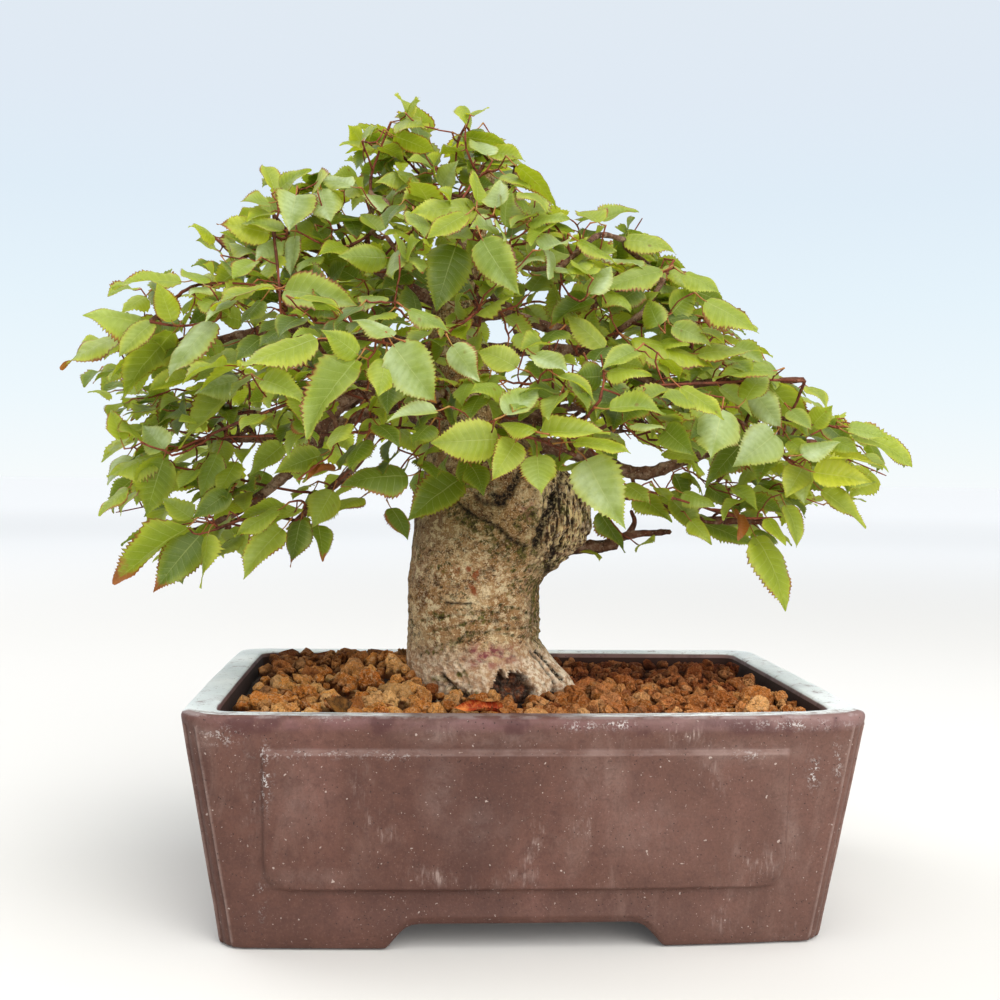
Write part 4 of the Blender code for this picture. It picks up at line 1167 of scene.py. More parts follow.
    # Crosswise wrinkles low down, following the bend of the base
    for k, (x0, y0, x1, y1, amt) in enumerate(((420, 621, 500, 613, 0.5), (430, 632, 520, 618, 0.5), (452, 640, 538, 626, 0.55), (470, 633, 536, 640, 0.5), (418, 655, 470, 640, 0.5), (500, 606, 538, 618, 0.35))):
        m = stamp([(x0, y0), ((x0 + x1) / 2, (y0 + y1) / 2 - 3), (x1, y1)], 1.5, amt, 0.45)
        moss = np.maximum(moss, m * smoothstep(-0.1, 0.3, noise3(P, 1 / 1.6, 55.0 + k)) * 0.8)
    wr = noise3(np.column_stack([P[:, 0] * 0.12, P[:, 1] * 0.12, z * 0.75]), 1.0, 21.0)
    d += 0.3 * wr * smoothstep(72, 80, z) * smoothstep(108, 96, z)
    # Rusty and pink patches
    rust = np.exp(-(((px - 468) / 13) ** 2 + ((py - 570) / 9) ** 2)) + 0.8 * np.exp(-(((px - 474) / 6) ** 2 + ((py - 588) / 10) ** 2))
    rust = rust * front * smoothstep(-0.45, 0.25, noise3(P, 1 / 2.4, 23.0))
    pk = np.exp(-(((px - 486) / 22) ** 2 + ((py - 656) / 13) ** 2)) * front
    pk = np.maximum(pk, 0.55 * np.exp(-(((px - 512) / 12) ** 2 + ((py - 655) / 15) ** 2)) * front)
    pk = np.maximum(pk, 0.5 * np.exp(-(((px - 529) / 12) ** 2 + ((py - 512) / 16) ** 2)) * front)
    pink = np.maximum(pk * smoothstep(-0.6, 0.3, noise3(P, 1 / 3.2, 24.0)), hidden * smoothstep(0.3, 0.8, noise3(P, 1 / 9, 25.0)) * 0.25)
    # Flaky pale bark over the root flare
    flake = smoothstep(86, 76, z)
    cell = noise3(P * (1, 1, 1.4), 1 / 1.7, 26.0)
    d += flake * 0.42 * cell + flake * 0.25 * noise3(P, 1 / 0.9, 27.0)
    pale = np.maximum(pale, flake * smoothstep(-0.7, 0.3, cell) * (0.75 + 0.45 * smoothstep(492, 530, px)))
    dark = np.maximum(dark, flake * smoothstep(0.55, 0.95, -cell) * 0.40)
    # The decayed hollow under the arch of the root
    arch_x = np.array([489, 491, 495, 497, 500, 503, 507, 511, 514, 518, 522, 526, 531, 536, 540])
    arch_y = np.array([704, 690, 684, 677, 670, 673, 679, 673, 676, 671, 676, 675, 683, 688, 704])
    inside = (py - np.interp(px, arch_x, arch_y, left=900, right=900)) + 3.4 * noise3(P * (1, 1, 0.5), 1 / 1.7, 30.0) + 1.8 * noise3(P, 1 / 0.8, 30.5)
    hollow = smoothstep(-1.0, 2.5, inside) * front * (z > 55)
    d -= hollow * (6.2 + 2.2 * noise3(P, 1 / 2.4, 31.0) + 1.1 * noise3(P, 1 / 1.0, 32.0))
    d += 1.0 * np.exp(-(((inside + 2.2) / 2.0) ** 2)) * front * (px > 484) * (px < 552)
    notch = np.exp(-(((px - 557) / 6.0) ** 2 + ((py - 694) / 6.0) ** 2)) * front
    d -= 3.4 * notch
    dark = np.maximum(dark, smoothstep(0.25, 0.7, notch))
    heart = hollow * (0.80 + 0.20 * noise3(P, 1 / 1.4, 33.0))
    dark = np.maximum(dark, heart)
    # The root flare's torn lower edge at left and the split toe at right
    stamp([(441, 676), (447, 681), (453, 688), (460, 694), (470, 699), (480, 702)], 2.4, 2.0, 0.9)
    torn = np.exp(-((seg_dist(px, py, [(438, 680), (450, 685), (462, 693), (476, 698), (488, 701)]) / 7.0) ** 2)) * front
    tatter = noise3(P * (1, 1, 0.7), 1 / 1.6, 53.0) + 0.5 * noise3(P, 1 / 0.8, 54.0)
    d += torn * 1.1 * tatter
    # painted shade in the undercuts of the torn edge
    dark = np.maximum(dark, torn * smoothstep(0.05, 0.5, -tatter) * 0.95)
    moss = np.maximum(moss, torn * smoothstep(-0.2, 0.3, tatter) * 0.6)
    d += 0.9 * np.exp(-((seg_dist(px, py, [(448, 676), (456, 684), (466, 691), (478, 695), (486, 700)]) / 2.6) ** 2)) * front
    stamp([(538, 652), (546, 660), (554, 669), (563, 680)], 2.1, 1.7, 1.0)
    stamp([(532, 652), (541, 663), (549, 674), (556, 684)], 1.3, 1.0, 0.8)
    stamp([(546, 650), (556, 661), (568, 674)], 1.3, 0.9, 0.9)
    rim_rag = smoothstep(74, 67, z) * (1.5 * noise3(P * (1, 1, 0.5), 1 / 3.4, 35.0) + 0.7 * noise3(P, 1 / 1.5, 36.0))
    d += rim_rag
    dark = np.maximum(dark, smoothstep(0.5, 1.1, -rim_rag) * 0.75 * smoothstep(74, 70, z))
    # Black specks in the bark: lichen and breathing pores
    speck = smoothstep(0.46, 0.72, noise3(P * (0.8, 0.8, 1.7), 1 / 1.35, 40.0) + 0.38 * noise3(P, 1 / 6, 41.0)) * smoothstep(158, 150, z)
    dark = np.maximum(dark, speck * 0.50)
    d -= 0.12 * speck
    # dark lichen thickens right of the middle, under the fold
    patch = np.exp(-(((px - 521) / 19) ** 2 + ((py - 574) / 24) ** 2)) + 0.8 * np.exp(-(((px - 500) / 13) ** 2 + ((py - 552) / 8) ** 2)) + 0.7 * np.exp(-(((px - 536) / 8) ** 2 + ((py - 612) / 22) ** 2))
    crumb = smoothstep(0.05, 0.5, noise3(P * (1, 1, 1.2), 1 / 1.5, 47.0) + 0.5 * noise3(P, 1 / 4.5, 48.0))
    moss = np.maximum(moss, patch * front * crumb * 0.95)
    dark = np.maximum(dark, patch * front * smoothstep(0.25, 0.6, noise3(P, 1 / 1.2, 49.0) + 0.35 * noise3(P, 1 / 5, 50.0)) * 0.85)
    d += 0.16 * patch * front * crumb
    moss = np.maximum(moss, smoothstep(0.45, 0.9, noise3(P, 1 / 8, 42.0) + 0.5 * noise3(P, 1 / 2, 43.0)) * 0.55)
    # Rough crumbling bark down the right side, below the burl
    strip = np.exp(-((seg_dist(px, py, [(548, 566), (541, 580), (537, 600), (537, 625), (539, 645)]) / 7.0) ** 2)) * (toward > -0.6)
    ragged = noise3(P * (1, 1, 0.8), 1 / 1.5, 51.0) + 0.5 * noise3(P, 1 / 0.8, 52.0)
    d += strip * 0.55 * ragged
    dark = np.maximum(dark, strip * smoothstep(0.15, 0.6, -ragged) * 0.9)
    moss = np.maximum(moss, strip * smoothstep(-0.2, 0.4, ragged) * 0.75)
    # The back: a few plain folds and an old healed cut
    back_cut = np.exp(-(((P[:, 0] + 8) / 7) ** 2 + ((z - 128) / 6) ** 2)) * hidden
    d += back_cut * (-1.6) + np.exp(-((np.hypot(P[:, 0] + 8, (z - 128) * 1.15) - 8.5) / 2.2) ** 2) * hidden * 1.0
    dark = np.maximum(dark, back_cut**0.7 * 0.75)
    for k in range(7):
        x0 = -30 + 8.5 * k
        zz = 78 + 9 * (k % 4) + 5 * math.sin(k * 2.1)
        m = np.exp(-(((z - zz - 2.2 * np.sin(P[:, 0] * 0.22 + k)) / 0.75) ** 2)) * np.exp(-(((P[:, 0] - x0) / 7) ** 2)) * hidden
        d -= 0.7 * m
        dark = np.maximum(dark, m * 0.6)
    # Crotches where stems leave are rough, and painted dark as shade between the stems
    crown = smoothstep(136, 150, z)
    d += crown * 0.35 * noise3(P * (1, 1, 0.5), 1 / 2.2, 45.0)
    dark = np.maximum(dark, smoothstep(136, 146, z) * smoothstep(164, 150, z) * smoothstep(0.0, 0.6, noise3(P, 1 / 4, 46.0)) * 0.8)
    # Painted shade: darker and browner under the leaves, and beside the burl
    shade = smoothstep(105, 124, z) * 0.8 + 0.25 * np.exp(-(((px - 470) / 40) ** 2 + ((py - 512) / 20) ** 2)) * front
    shade = np.maximum(shade * (1 - 0.75 * np.exp(-(((px - 522) / 16) ** 2 + ((py - 508) / 24) ** 2)) * front), 0)
    # smooth lower silhouette in the soil
    d *= smoothstep(50, 60, z)
    P = P + N * d[:, None]
    P[:, 2] += 0.25 * noise3(P, 1 / 3.0, 50.0) * smoothstep(60, 70, z) * smoothstep(246, 240, z)
    faces = ring_faces(len(rows), cols).tolist()
    n = len(P)
    P = np.concatenate([P, [((-22 - 2) / 2, 0, 42)], [(-9.5, 0.6, 249.0)]])
    last = (len(rows) - 1) * cols
    for i in range(cols):
        j = (i + 1) % cols
        faces.append([j, i, n])
        faces.append([last + i, last + j, n + 1])

    def ext(a):
        return np.concatenate([a, [0, 0]])

    attrs = {
        "bark_a": np.column_stack([ext(dark), ext(moss), ext(pink)]).clip(0, 1),
        "bark_b": np.column_stack([ext(rust), ext(pale), ext(fibre)]).clip(0, 1.2),
        "bark_c": np.column_stack([ext(heart), ext(shade), ext(flake)]).clip(0, 1),
    }
    trunk = make_mesh("trunk_wood", P, faces, mat, attrs=attrs)
    outward(trunk)
    return trunk


def trunk_material():
    n = Nodes("hornbeam_bark")
    obj = n.place()
    dark, moss, pink = n.split(n.attr("bark_a"))
    rust, pale, fibre = n.split(n.attr("bark_b"))
    heart, shade, flare = n.split(n.attr("bark_c"))
    tone = n.noise(n.place((1, 1, 0.85)), 85, 4, 0.62, 0.3)
    base = n.ramp(tone, [(0.30, srgb("784f2e")), (0.42, srgb("9b7044")), (0.53, srgb("b28b5e")), (0.66, srgb("caab7f"))])
    grey = n.noise(obj, 26, 4, 0.6)
    base = n.mix(n.step(grey, 0.50, 0.64, 0.0, 0.45), base, srgb("94806f"))
    warm = n.noise(n.place((1, 1, 0.8), (0.3, 0.2, 0.9)), 34, 4, 0.6)
    base = n.mix(n.step(warm, 0.50, 0.66, 0.0, 0.42), base, srgb("875e3c"))
    # crumbs of several colours, gathered in drifts
    fine = n.noise(n.place((1, 1, 1.25)), 460, 4.6, 0.74)
    drift = n.noise(n.place((1, 1, 1.3)), 95, 4, 0.65)
    thick = n.step(drift, 0.44, 0.58, 0.12, 1.0)
    base = n.mix(n.mul(n.step(fine, 0.50, 0.57, 0.0, 0.90), thick), base, srgb("4f2c12"))
    olive = n.noise(n.place((1, 1, 1.2), (0.9, 0.4, 0.2)), 480, 4.2, 0.72)
    base = n.mix(n.mul(n.step(olive, 0.52, 0.58, 0.0, 0.90), n.step(n.noise(obj, 75, 3, 0.6), 0.48, 0.58, 0.0, 1.0)), base, srgb("484017"))
    dash = n.noise(n.place((0.8, 0.8, 1.8), (0.1, 0.2, 0.1)), 520, 3.4, 0.70)
    base = n.mix(n.mul(n.step(dash, 0.60, 0.65, 0.0, 0.95), n.step(drift, 0.42, 0.56, 0.45, 1.0)), base, srgb("24160b"))
    light = n.noise(n.place((1, 1, 1.1), (0.5, 0.1, 0.3)), 420, 4.6, 0.74)
    base = n.mix(n.mul(n.step(light, 0.50, 0.57, 0.0, 0.80), n.step(drift, 0.60, 0.40, 0.25, 1.0)), base, srgb("e6d0a6"))
    grit = n.noise(obj, 1900, 2, 0.7)
    base = n.mix(n.mul(n.step(grit, 0.53, 0.66, 0.0, 0.60), n.step(drift, 0.40, 0.56, 0.30, 1.0)), base, srgb("4a2c14"))
    base = n.mix(n.mul(n.step(grit, 0.47, 0.34, 0.0, 0.50), n.step(warm, 0.62, 0.42, 0.25, 1.0)), base, srgb("f4e2c0"))
    # the flare: pale, flaky, with pinkish brown under the flakes
    base = n.mix(n.mul(flare, n.step(tone, 0.34, 0.60, 0.45, 0.75)), base, srgb("ba8e6c"))
    base = n.mix(n.mul(pale, n.step(light, 0.42, 0.54, 0.08, 0.92)), base, srgb("e8d4ba"))
    pink = n.step(pink, 0.05, 0.70)
    base = n.mix(n.mul(pink, n.step(fine, 0.60, 0.42, 0.35, 0.90)), base, srgb("995852"))
    base = n.mix(n.mul(n.mul(pink, pink), n.step(olive, 0.46, 0.58, 0.0, 0.8)), base, srgb("7c3540"))
    rust = n.step(rust, 0.12, 0.62)
    base = n.mix(n.mul(rust, n.step(fine, 0.58, 0.44, 0.15, 0.95)), base, srgb("8e4826"))
    moss = n.step(moss, 0.06, 0.50)
    mossy = n.mul(moss, n.step(n.noise(obj, 460, 4.4, 0.74), 0.45, 0.53))
    base = n.mix(n.mul(n.mul(moss, 0.45), n.step(tone, 0.3, 0.6)), base, srgb("6a622e"))
    base = n.mix(n.mul(mossy, 0.92), base, n.mix(n.step(n.noise(obj, 900, 3, 0.7), 0.4, 0.62), srgb("241f0a"), srgb("6c6527")))
    # fibres of the burl: dark in their grooves and pale on their ridges, partly painted shade and light
    fib = n.noise(n.place((1, 1, 0.16)), 760, 2.4, 0.62, 0.25)
    base = n.mix(n.mul(fibre, n.step(fib, 0.53, 0.60, 0.0, 0.92)), base, srgb("261607"))
    base = n.mix(n.mul(fibre, n.step(fib, 0.49, 0.40, 0.0, 0.92)), base, srgb("eed49c"))
    # painted shade under the leaves, less of it on the burl
    shade = n.mul(shade, n.mixf(fibre, 1.0, 0.25))
    base = n.mix(shade, base, n.mix(1.0, base, (0.50, 0.49, 0.38), "MULTIPLY"))
    base = n.mix(n.mul(dark, n.step(n.noise(obj, 1000, 2.2, 0.62), 0.64, 0.42, 0.50, 1.0)), base, srgb("150c06"))
    # moist, crumbly heartwood in deep places is dark red-brown
    rot = n.noise(obj, 430, 3, 0.65)
    base = n.mix(heart, base, n.ramp(rot, [(0.36, srgb("100805")), (0.50, srgb("35170c")), (0.62, srgb("6c3318")), (0.74, srgb("a8683c"))]))
    height = n.add(n.mul(n.noise(n.place((1, 1, 1.2)), 380, 3, 0.65), 1.3), n.mul(dash, -0.8))
    height = n.add(height, n.mul(n.noise(obj, 170, 4, 0.6), 1.2))
    height = n.add(height, n.mul(n.mul(fibre, fib), -2.2))
    height = n.add(height, n.mul(light, 1.1))
    normal = n.bump(height, 0.9, 0.0011)
    n.finish(base, 0.86, normal)
    n.shader.inputs["Specular IOR Level"].default_value = 0.25
    return n.mat


# ------------------------------------------------------------------ stems, shoots and leaves

STEMS = {
    "branch_left_low": [
        (4.6, 1.5, [(-20, -4, 152), (-29, -6, 156), (-39, -16, 165), (-51, -24, 167), (-63, -24, 157), (-67, -22, 147), (-77, -20, 138), (-90, -17, 128), (-108, -14, 119)]),
        (2.6, 1.3, [(-48, -23, 167), (-50, -23, 159), (-49, -22, 151), (-53, -20, 143), (-61, -16, 135), (-75, -9, 122)]),
    ],
    "branch_left_mid": [(3.8, 1.3, [(-22, 4, 166), (-31, 8, 166), (-46, 14, 163), (-62, 16, 157), (-82, 15, 152), (-102, 12, 151), (-121, 4, 146)])],
    "branch_left_high": [(3.6, 1.3, [(-24, -2, 180), (-33, -5, 182), (-56, -14, 187), (-81, -20, 186), (-103, -26, 180), (-124, -33, 176)])],
    "branch_top_left": [(3.2, 1.2, [(-22, 2, 196), (-30, 2, 200), (-47, 0, 209), (-63, -4, 214), (-79, -6, 216), (-93, -8, 211)])],
    "branch_front_left": [(3.4, 1.2, [(-22, -8, 160), (-26, -14, 164), (-37, -37, 169), (-47, -58, 172), (-57, -79, 171)])],
    "branch_front": [(4.2, 1.3, [(-12, -12, 143), (-10, -24, 148), (-8, -45, 157), (-3, -66, 157), (6, -86, 153)])],
    "branch_right_low": [(4.0, 1.3, [(12, 3, 130), (22, 4, 132), (35, 8, 135), (50, 8, 131), (66, 4, 125), (86, -2, 125)])],
    "branch_right_mid": [(4.4, 1.3, [(-4, 0, 150), (6, -1, 151), (22, -6, 147), (42, -10, 141), (58, -12, 146), (78, -14, 152), (104, -12, 152)])],
    "branch_right_high": [(3.6, 1.2, [(-20, 0, 180), (-10, -3, 182), (6, -10, 182), (27, -18, 180), (46, -23, 170), (64, -26, 171), (92, -29, 172)])],
    "branch_top_right": [(3.2, 1.2, [(-22, 2, 192), (-14, 2, 194), (-3, 2, 195), (15, 0, 190), (35, -4, 190), (43, -6, 195), (48, -6, 203), (53, -6, 214)])],
    "branch_back_left": [(4.2, 1.3, [(-24, 8, 156), (-30, 18, 160), (-50, 48, 168), (-70, 78, 172)])],
    "branch_back_right": [(4.2, 1.3, [(-10, 8, 152), (-5, 17, 156), (20, 50, 165), (46, 80, 170)])],
    "branch_back_high": [(3.2, 1.2, [(-22, 3, 196), (-24, 10, 201), (-22, 36, 214), (-17, 62, 222)])],
    "stub_right": [
        (3.4, 2.6, [(12, 3, 113), (20, 2, 115), (30, 3, 115.5), (36, 3.5, 116.5)]),
        (2.2, 1.1, [(33, 3.4, 116), (40, 2.5, 119.5), (48, 0, 120.5), (54, -2, 121)]),
        (1.6, 0.8, [(40, 2.5, 119.5), (42.5, 4, 124), (41.5, 5, 128)]),
    ],
}

FOLIAGE = {
    "foliage_left_low": ((-96, -12, 120), (46, 40, 22)),
    "foliage_left_mid": ((-101, 6, 153), (47, 44, 24)),
    "foliage_left_high": ((-84, -22, 184), (52, 42, 26)),
    "foliage_top_left": ((-60, -2, 216), (44, 38, 27)),
    "foliage_front_left": ((-48, -64, 164), (42, 44, 30)),
    "foliage_front": ((10, -68, 154), (48, 40, 28)),
    "foliage_right_low": ((68, 0, 125), (44, 40, 27)),
    "foliage_right_mid": ((100, -6, 151), (49, 46, 26)),
    "foliage_right_high": ((66, -18, 182), (50, 44, 26)),
    "foliage_top_right": ((34, 4, 212), (44, 40, 28)),
    "foliage_apex": ((-22, 0, 243), (38, 38, 29)),
    "foliage_front_high": ((-10, -44, 202), (46, 38, 30)),
    "foliage_back_left": ((-64, 60, 162), (52, 49, 34)),
    "foliage_back_right": ((42, 62, 160), (56, 48, 34)),
    "foliage_back_high": ((-12, 44, 208), (50, 44, 33)),
}
MASS_NAMES = list(FOLIAGE)
MASS_C = np.array([FOLIAGE[k][0] for k in MASS_NAMES], float)
MASS_H = np.array([FOLIAGE[k][1] for k in MASS_NAMES], float)

# Leaves that face the viewer: where each starts and ends in a picture 1000 wide,
# how wide it looks, and its kind: g green, b blue-green with a painted sheen, l lime,
# y yellow-lime, d dark green with painted shade, u seen from below; r red-brown edge,
# o scorched tip.
LEAVES = [
    # leader and top
    (405, 112, 397, 96, 6, "l"), (407, 114, 421, 101, 11, "l"), (398, 123, 425, 126, 12, "l"), (394, 136, 436, 154, 21, "ur"),
    (382, 147, 404, 162, 15, "u"), (361, 143, 348, 125, 19, "l"), (372, 145, 339, 146, 10, "lr"), (367, 139, 379, 128, 8, "g"),
    (364, 139, 371, 124, 8, "lr"), (466, 125, 464, 105, 11, "l"), (474, 116, 485, 111, 7, "l"), (463, 137, 506, 144, 17, "u"),
    (461, 151, 439, 154, 13, "u"), (461, 153, 481, 156, 10, "d"), (488, 156, 473, 143, 11, "b"), (489, 153, 526, 161, 15, "l"),
    (485, 165, 526, 166, 9, "g"), (516, 166, 556, 210, 19, "ur"), (484, 169, 507, 168, 8, "l"), (415, 176, 374, 183, 17, "lr"),
    (432, 170, 407, 160, 11, "g"), (432, 170, 426, 155, 9, "l"), (441, 187, 459, 160, 22, "b"), (430, 195, 392, 200, 11, "b"),
    (388, 195, 411, 187, 9, "gr"), (371, 195, 382, 212, 17, "b"), (476, 207, 409, 214, 25, "l"), (466, 215, 426, 240, 21, "yr"),
    (415, 214, 424, 239, 19, "g"), (495, 208, 501, 180, 21, "b"), (505, 227, 512, 187, 23, "u"), (477, 202, 472, 172, 15, "l"),
    (522, 193, 547, 212, 13, "lr"), (530, 222, 570, 218, 11, "g"), (493, 226, 470, 227, 19, "b"), (499, 228, 502, 242, 11, "b"),
    (531, 217, 510, 228, 8, "g"), (482, 239, 520, 296, 40, "g"), (456, 246, 436, 312, 42, "d"), (387, 258, 337, 256, 28, "g"),
    (396, 251, 394, 280, 21, "g"), (407, 255, 420, 240, 13, "g"), (400, 254, 399, 239, 11, "g"), (409, 257, 424, 273, 13, "g"),
    (345, 246, 318, 256, 17, "l"), (321, 189, 331, 222, 29, "b"), (352, 187, 320, 181, 15, "b"), (363, 195, 364, 176, 11, "g"),
    (541, 250, 568, 244, 15, "b"), (549, 250, 549, 280, 15, "br"), (558, 268, 573, 280, 11, "b"), (589, 275, 575, 264, 11, "l"),
    (548, 225, 530, 246, 14, "g"), (520, 262, 545, 262, 13, "b"), (505, 175, 530, 190, 14, "l"), (450, 205, 437, 190, 12, "g"),
    (345, 215, 357, 240, 17, "d"), (380, 232, 360, 215, 14, "g"), (318, 232, 330, 256, 15, "d"), (400, 205, 385, 228, 14, "d"),
    # upper left
    (274, 190, 262, 164, 15, "lr"), (280, 189, 312, 170, 15, "lr"), (318, 189, 322, 170, 10, "yr"), (270, 203, 240, 202, 15, "gr"),
    (296, 195, 289, 232, 36, "b"), (270, 213, 246, 221, 11, "l"), (270, 234, 216, 224, 25, "yo"), (284, 230, 241, 224, 13, "l"),
    (214, 236, 188, 227, 11, "l"), (253, 253, 228, 244, 8, "l"), (285, 240, 255, 263, 19, "b"), (295, 236, 291, 278, 17, "br"),
    (324, 240, 296, 253, 17, "u"), (316, 257, 297, 274, 13, "g"), (182, 282, 111, 287, 17, "lr"), (172, 322, 157, 282, 27, "lr"),
    (203, 284, 182, 272, 11, "g"), (211, 282, 202, 264, 9, "lr"), (209, 288, 189, 297, 10, "b"), (144, 323, 82, 315, 25, "g"),
    (120, 336, 60, 370, 20, "lr"), (153, 322, 119, 358, 21, "lr"), (174, 332, 121, 400, 27, "ur"), (214, 322, 166, 383, 30, "br"),
    (276, 289, 210, 310, 14, "lr"), (284, 290, 358, 306, 36, "gr"), (297, 299, 343, 314, 10, "lr"), (317, 339, 239, 367, 30, "l"),
    (358, 355, 319, 329, 26, "g"), (241, 355, 184, 380, 22, "g"), (190, 378, 146, 394, 16, "l"), (200, 300, 232, 318, 16, "g"),
    (232, 300, 205, 322, 15, "b"), (262, 300, 240, 326, 16, "d"), (190, 340, 214, 362, 16, "d"), (255, 262, 232, 282, 16, "g"),
    (330, 283, 350, 262, 14, "d"), (300, 318, 278, 338, 17, "d"), (226, 262, 244, 284, 15, "d"),
    # left and lower left
    (121, 440, 110, 410, 18, "lr"), (138, 439, 123, 421, 8, "g"), (164, 450, 143, 425, 28, "b"), (163, 453, 107, 478, 22, "l"),
    (128, 455, 108, 486, 18, "b"), (164, 458, 146, 516, 38, "u"), (128, 488, 98, 516, 13, "lr"), (188, 527, 112, 584, 25, "uo"),
    (201, 534, 153, 593, 42, "do"), (208, 534, 202, 589, 18, "l"), (279, 510, 234, 538, 18, "l"), (283, 529, 243, 580, 26, "lr"),
    (301, 519, 291, 568, 26, "do"), (318, 525, 323, 562, 22, "do"), (333, 490, 312, 528, 32, "g"), (391, 508, 408, 541, 20, "dr"),
    (408, 476, 339, 486, 34, "d"), (459, 480, 406, 523, 36, "d"), (357, 360, 306, 440, 38, "g"), (385, 359, 378, 397, 28, "l"),
    (393, 345, 437, 404, 48, "b"), (393, 337, 352, 320, 14, "b"), (452, 345, 480, 382, 30, "br"), (408, 310, 451, 334, 14, "g"),
    (517, 368, 478, 352, 24, "l"), (437, 411, 387, 422, 16, "b"), (498, 439, 430, 443, 40, "l"), (516, 441, 491, 481, 34, "l"),
    (537, 455, 541, 496, 36, "g"), (391, 378, 388, 417, 26, "d"), (262, 380, 307, 405, 26, "g"), (239, 380, 193, 395, 24, "b"),
    (237, 386, 178, 449, 28, "l"), (284, 444, 250, 476, 24, "g"), (218, 453, 201, 497, 22, "g"), (322, 455, 272, 475, 28, "u"),
    (229, 492, 192, 519, 24, "d"), (285, 506, 238, 522, 18, "u"), (297, 508, 272, 526, 18, "l"), (333, 471, 306, 480, 8, "o"),
    (236, 462, 216, 497, 18, "l"), (251, 449, 242, 465, 12, "l"), (471, 466, 484, 496, 26, "d"), (300, 420, 318, 446, 18, "d"),
    (345, 425, 331, 452, 18, "g"), (205, 420, 178, 420, 16, "g"), (218, 405, 232, 428, 16, "d"), (262, 415, 240, 432, 16, "g"),
    (180, 400, 160, 412, 14, "g"), (365, 440, 350, 470, 18, "d"), (430, 425, 412, 446, 18, "d"), (378, 425, 400, 448, 18, "d"),
    (420, 460, 436, 480, 16, "d"), (195, 470, 178, 490, 15, "g"), (305, 478, 330, 468, 14, "u"), (360, 498, 338, 512, 14, "g"),
    # right
    (601, 221, 639, 213, 12, "g"), (599, 223, 578, 216, 10, "lr"), (624, 240, 677, 255, 20, "lr"), (612, 256, 656, 261, 20, "u"),
    (578, 241, 617, 266, 16, "l"), (662, 271, 597, 294, 20, "g"), (609, 291, 631, 313, 14, "g"), (669, 265, 687, 291, 18, "l"),
    (672, 313, 697, 286, 24, "u"), (684, 274, 722, 296, 18, "g"), (705, 301, 760, 334, 30, "lr"), (659, 326, 647, 298, 24, "g"),
    (591, 298, 548, 328, 22, "d"), (604, 349, 563, 313, 20, "l"), (631, 339, 715, 369, 24, "l"), (672, 326, 712, 347, 22, "g"),
    (700, 328, 725, 344, 12, "r"), (697, 354, 763, 352, 20, "l"), (773, 371, 712, 381, 20, "g"), (767, 384, 808, 437, 34, "ur"),
    (753, 391, 783, 430, 30, "br"), (808, 387, 826, 409, 15, "l"), (813, 425, 833, 405, 24, "g"), (848, 427, 888, 440, 18, "g"),
    (851, 434, 912, 468, 18, "l"), (801, 455, 841, 442, 20, "b"), (821, 459, 883, 468, 16, "y"), (813, 472, 873, 482, 30, "y"),
    (803, 467, 785, 498, 26, "y"), (808, 472, 805, 505, 18, "b"), (821, 490, 866, 529, 24, "lr"), (785, 505, 796, 548, 16, "l"),
    (767, 518, 786, 546, 16, "l"), (755, 536, 785, 612, 28, "l"), (700, 523, 757, 546, 18, "d"), (733, 487, 757, 512, 15, "g"),
    (722, 409, 710, 460, 44, "b"), (680, 387, 725, 420, 18, "l"), (775, 434, 732, 467, 38, "b"), (743, 442, 705, 488, 30, "dr"),
    (720, 387, 752, 417, 18, "gr"), (609, 409, 667, 414, 16, "g"), (602, 376, 571, 376, 30, "d"), (558, 376, 596, 402, 12, "l"),
    (607, 372, 652, 376, 14, "l"), (534, 354, 568, 372, 20, "b"), (505, 415, 539, 389, 24, "b"), (540, 432, 611, 435, 28, "lr"),
    (536, 432, 498, 425, 12, "l"), (586, 459, 626, 530, 48, "b"), (573, 442, 631, 454, 13, "l"), (632, 425, 665, 429, 10, "b"),
    (665, 430, 694, 455, 30, "d"), (636, 495, 672, 523, 22, "u"), (672, 500, 700, 536, 24, "u"), (682, 493, 715, 507, 16, "g"),
    (599, 512, 626, 553, 20, "d"), (586, 550, 599, 562, 8, "l"), (640, 545, 653, 541, 6, "g"), (589, 294, 612, 266, 20, "b"),
    (589, 260, 564, 279, 14, "l"), (640, 290, 610, 310, 18, "d"), (560, 330, 540, 352, 18, "d"), (636, 350, 600, 372, 20, "g"),
    (590, 330, 618, 350, 18, "g"), (690, 400, 660, 398, 16, "g"), (640, 395, 618, 412, 16, "d"), (745, 400, 768, 376, 18, "g"),
    (790, 410, 812, 430, 20, "g"), (770, 455, 757, 485, 20, "d"), (790, 440, 812, 460, 20, "g"), (830, 440, 858, 452, 18, "g"),
    (730, 360, 752, 378, 18, "g"), (575, 300, 560, 320, 16, "d"), (560, 395, 548, 420, 20, "g"), (480, 395, 468, 420, 20, "d"),
    (620, 400, 596, 420, 16, "d"), (530, 400, 512, 412, 16, "g"), (545, 345, 520, 352, 16, "g"), (500, 385, 470, 392, 18, "g"),
    (710, 430, 690, 440, 18, "d"), (655, 345, 690, 345, 16, "l"), (690, 520, 712, 545, 18, "l"), (740, 500, 722, 520, 14, "g"),
    (734, 514, 738, 541, 13, "o"),
]

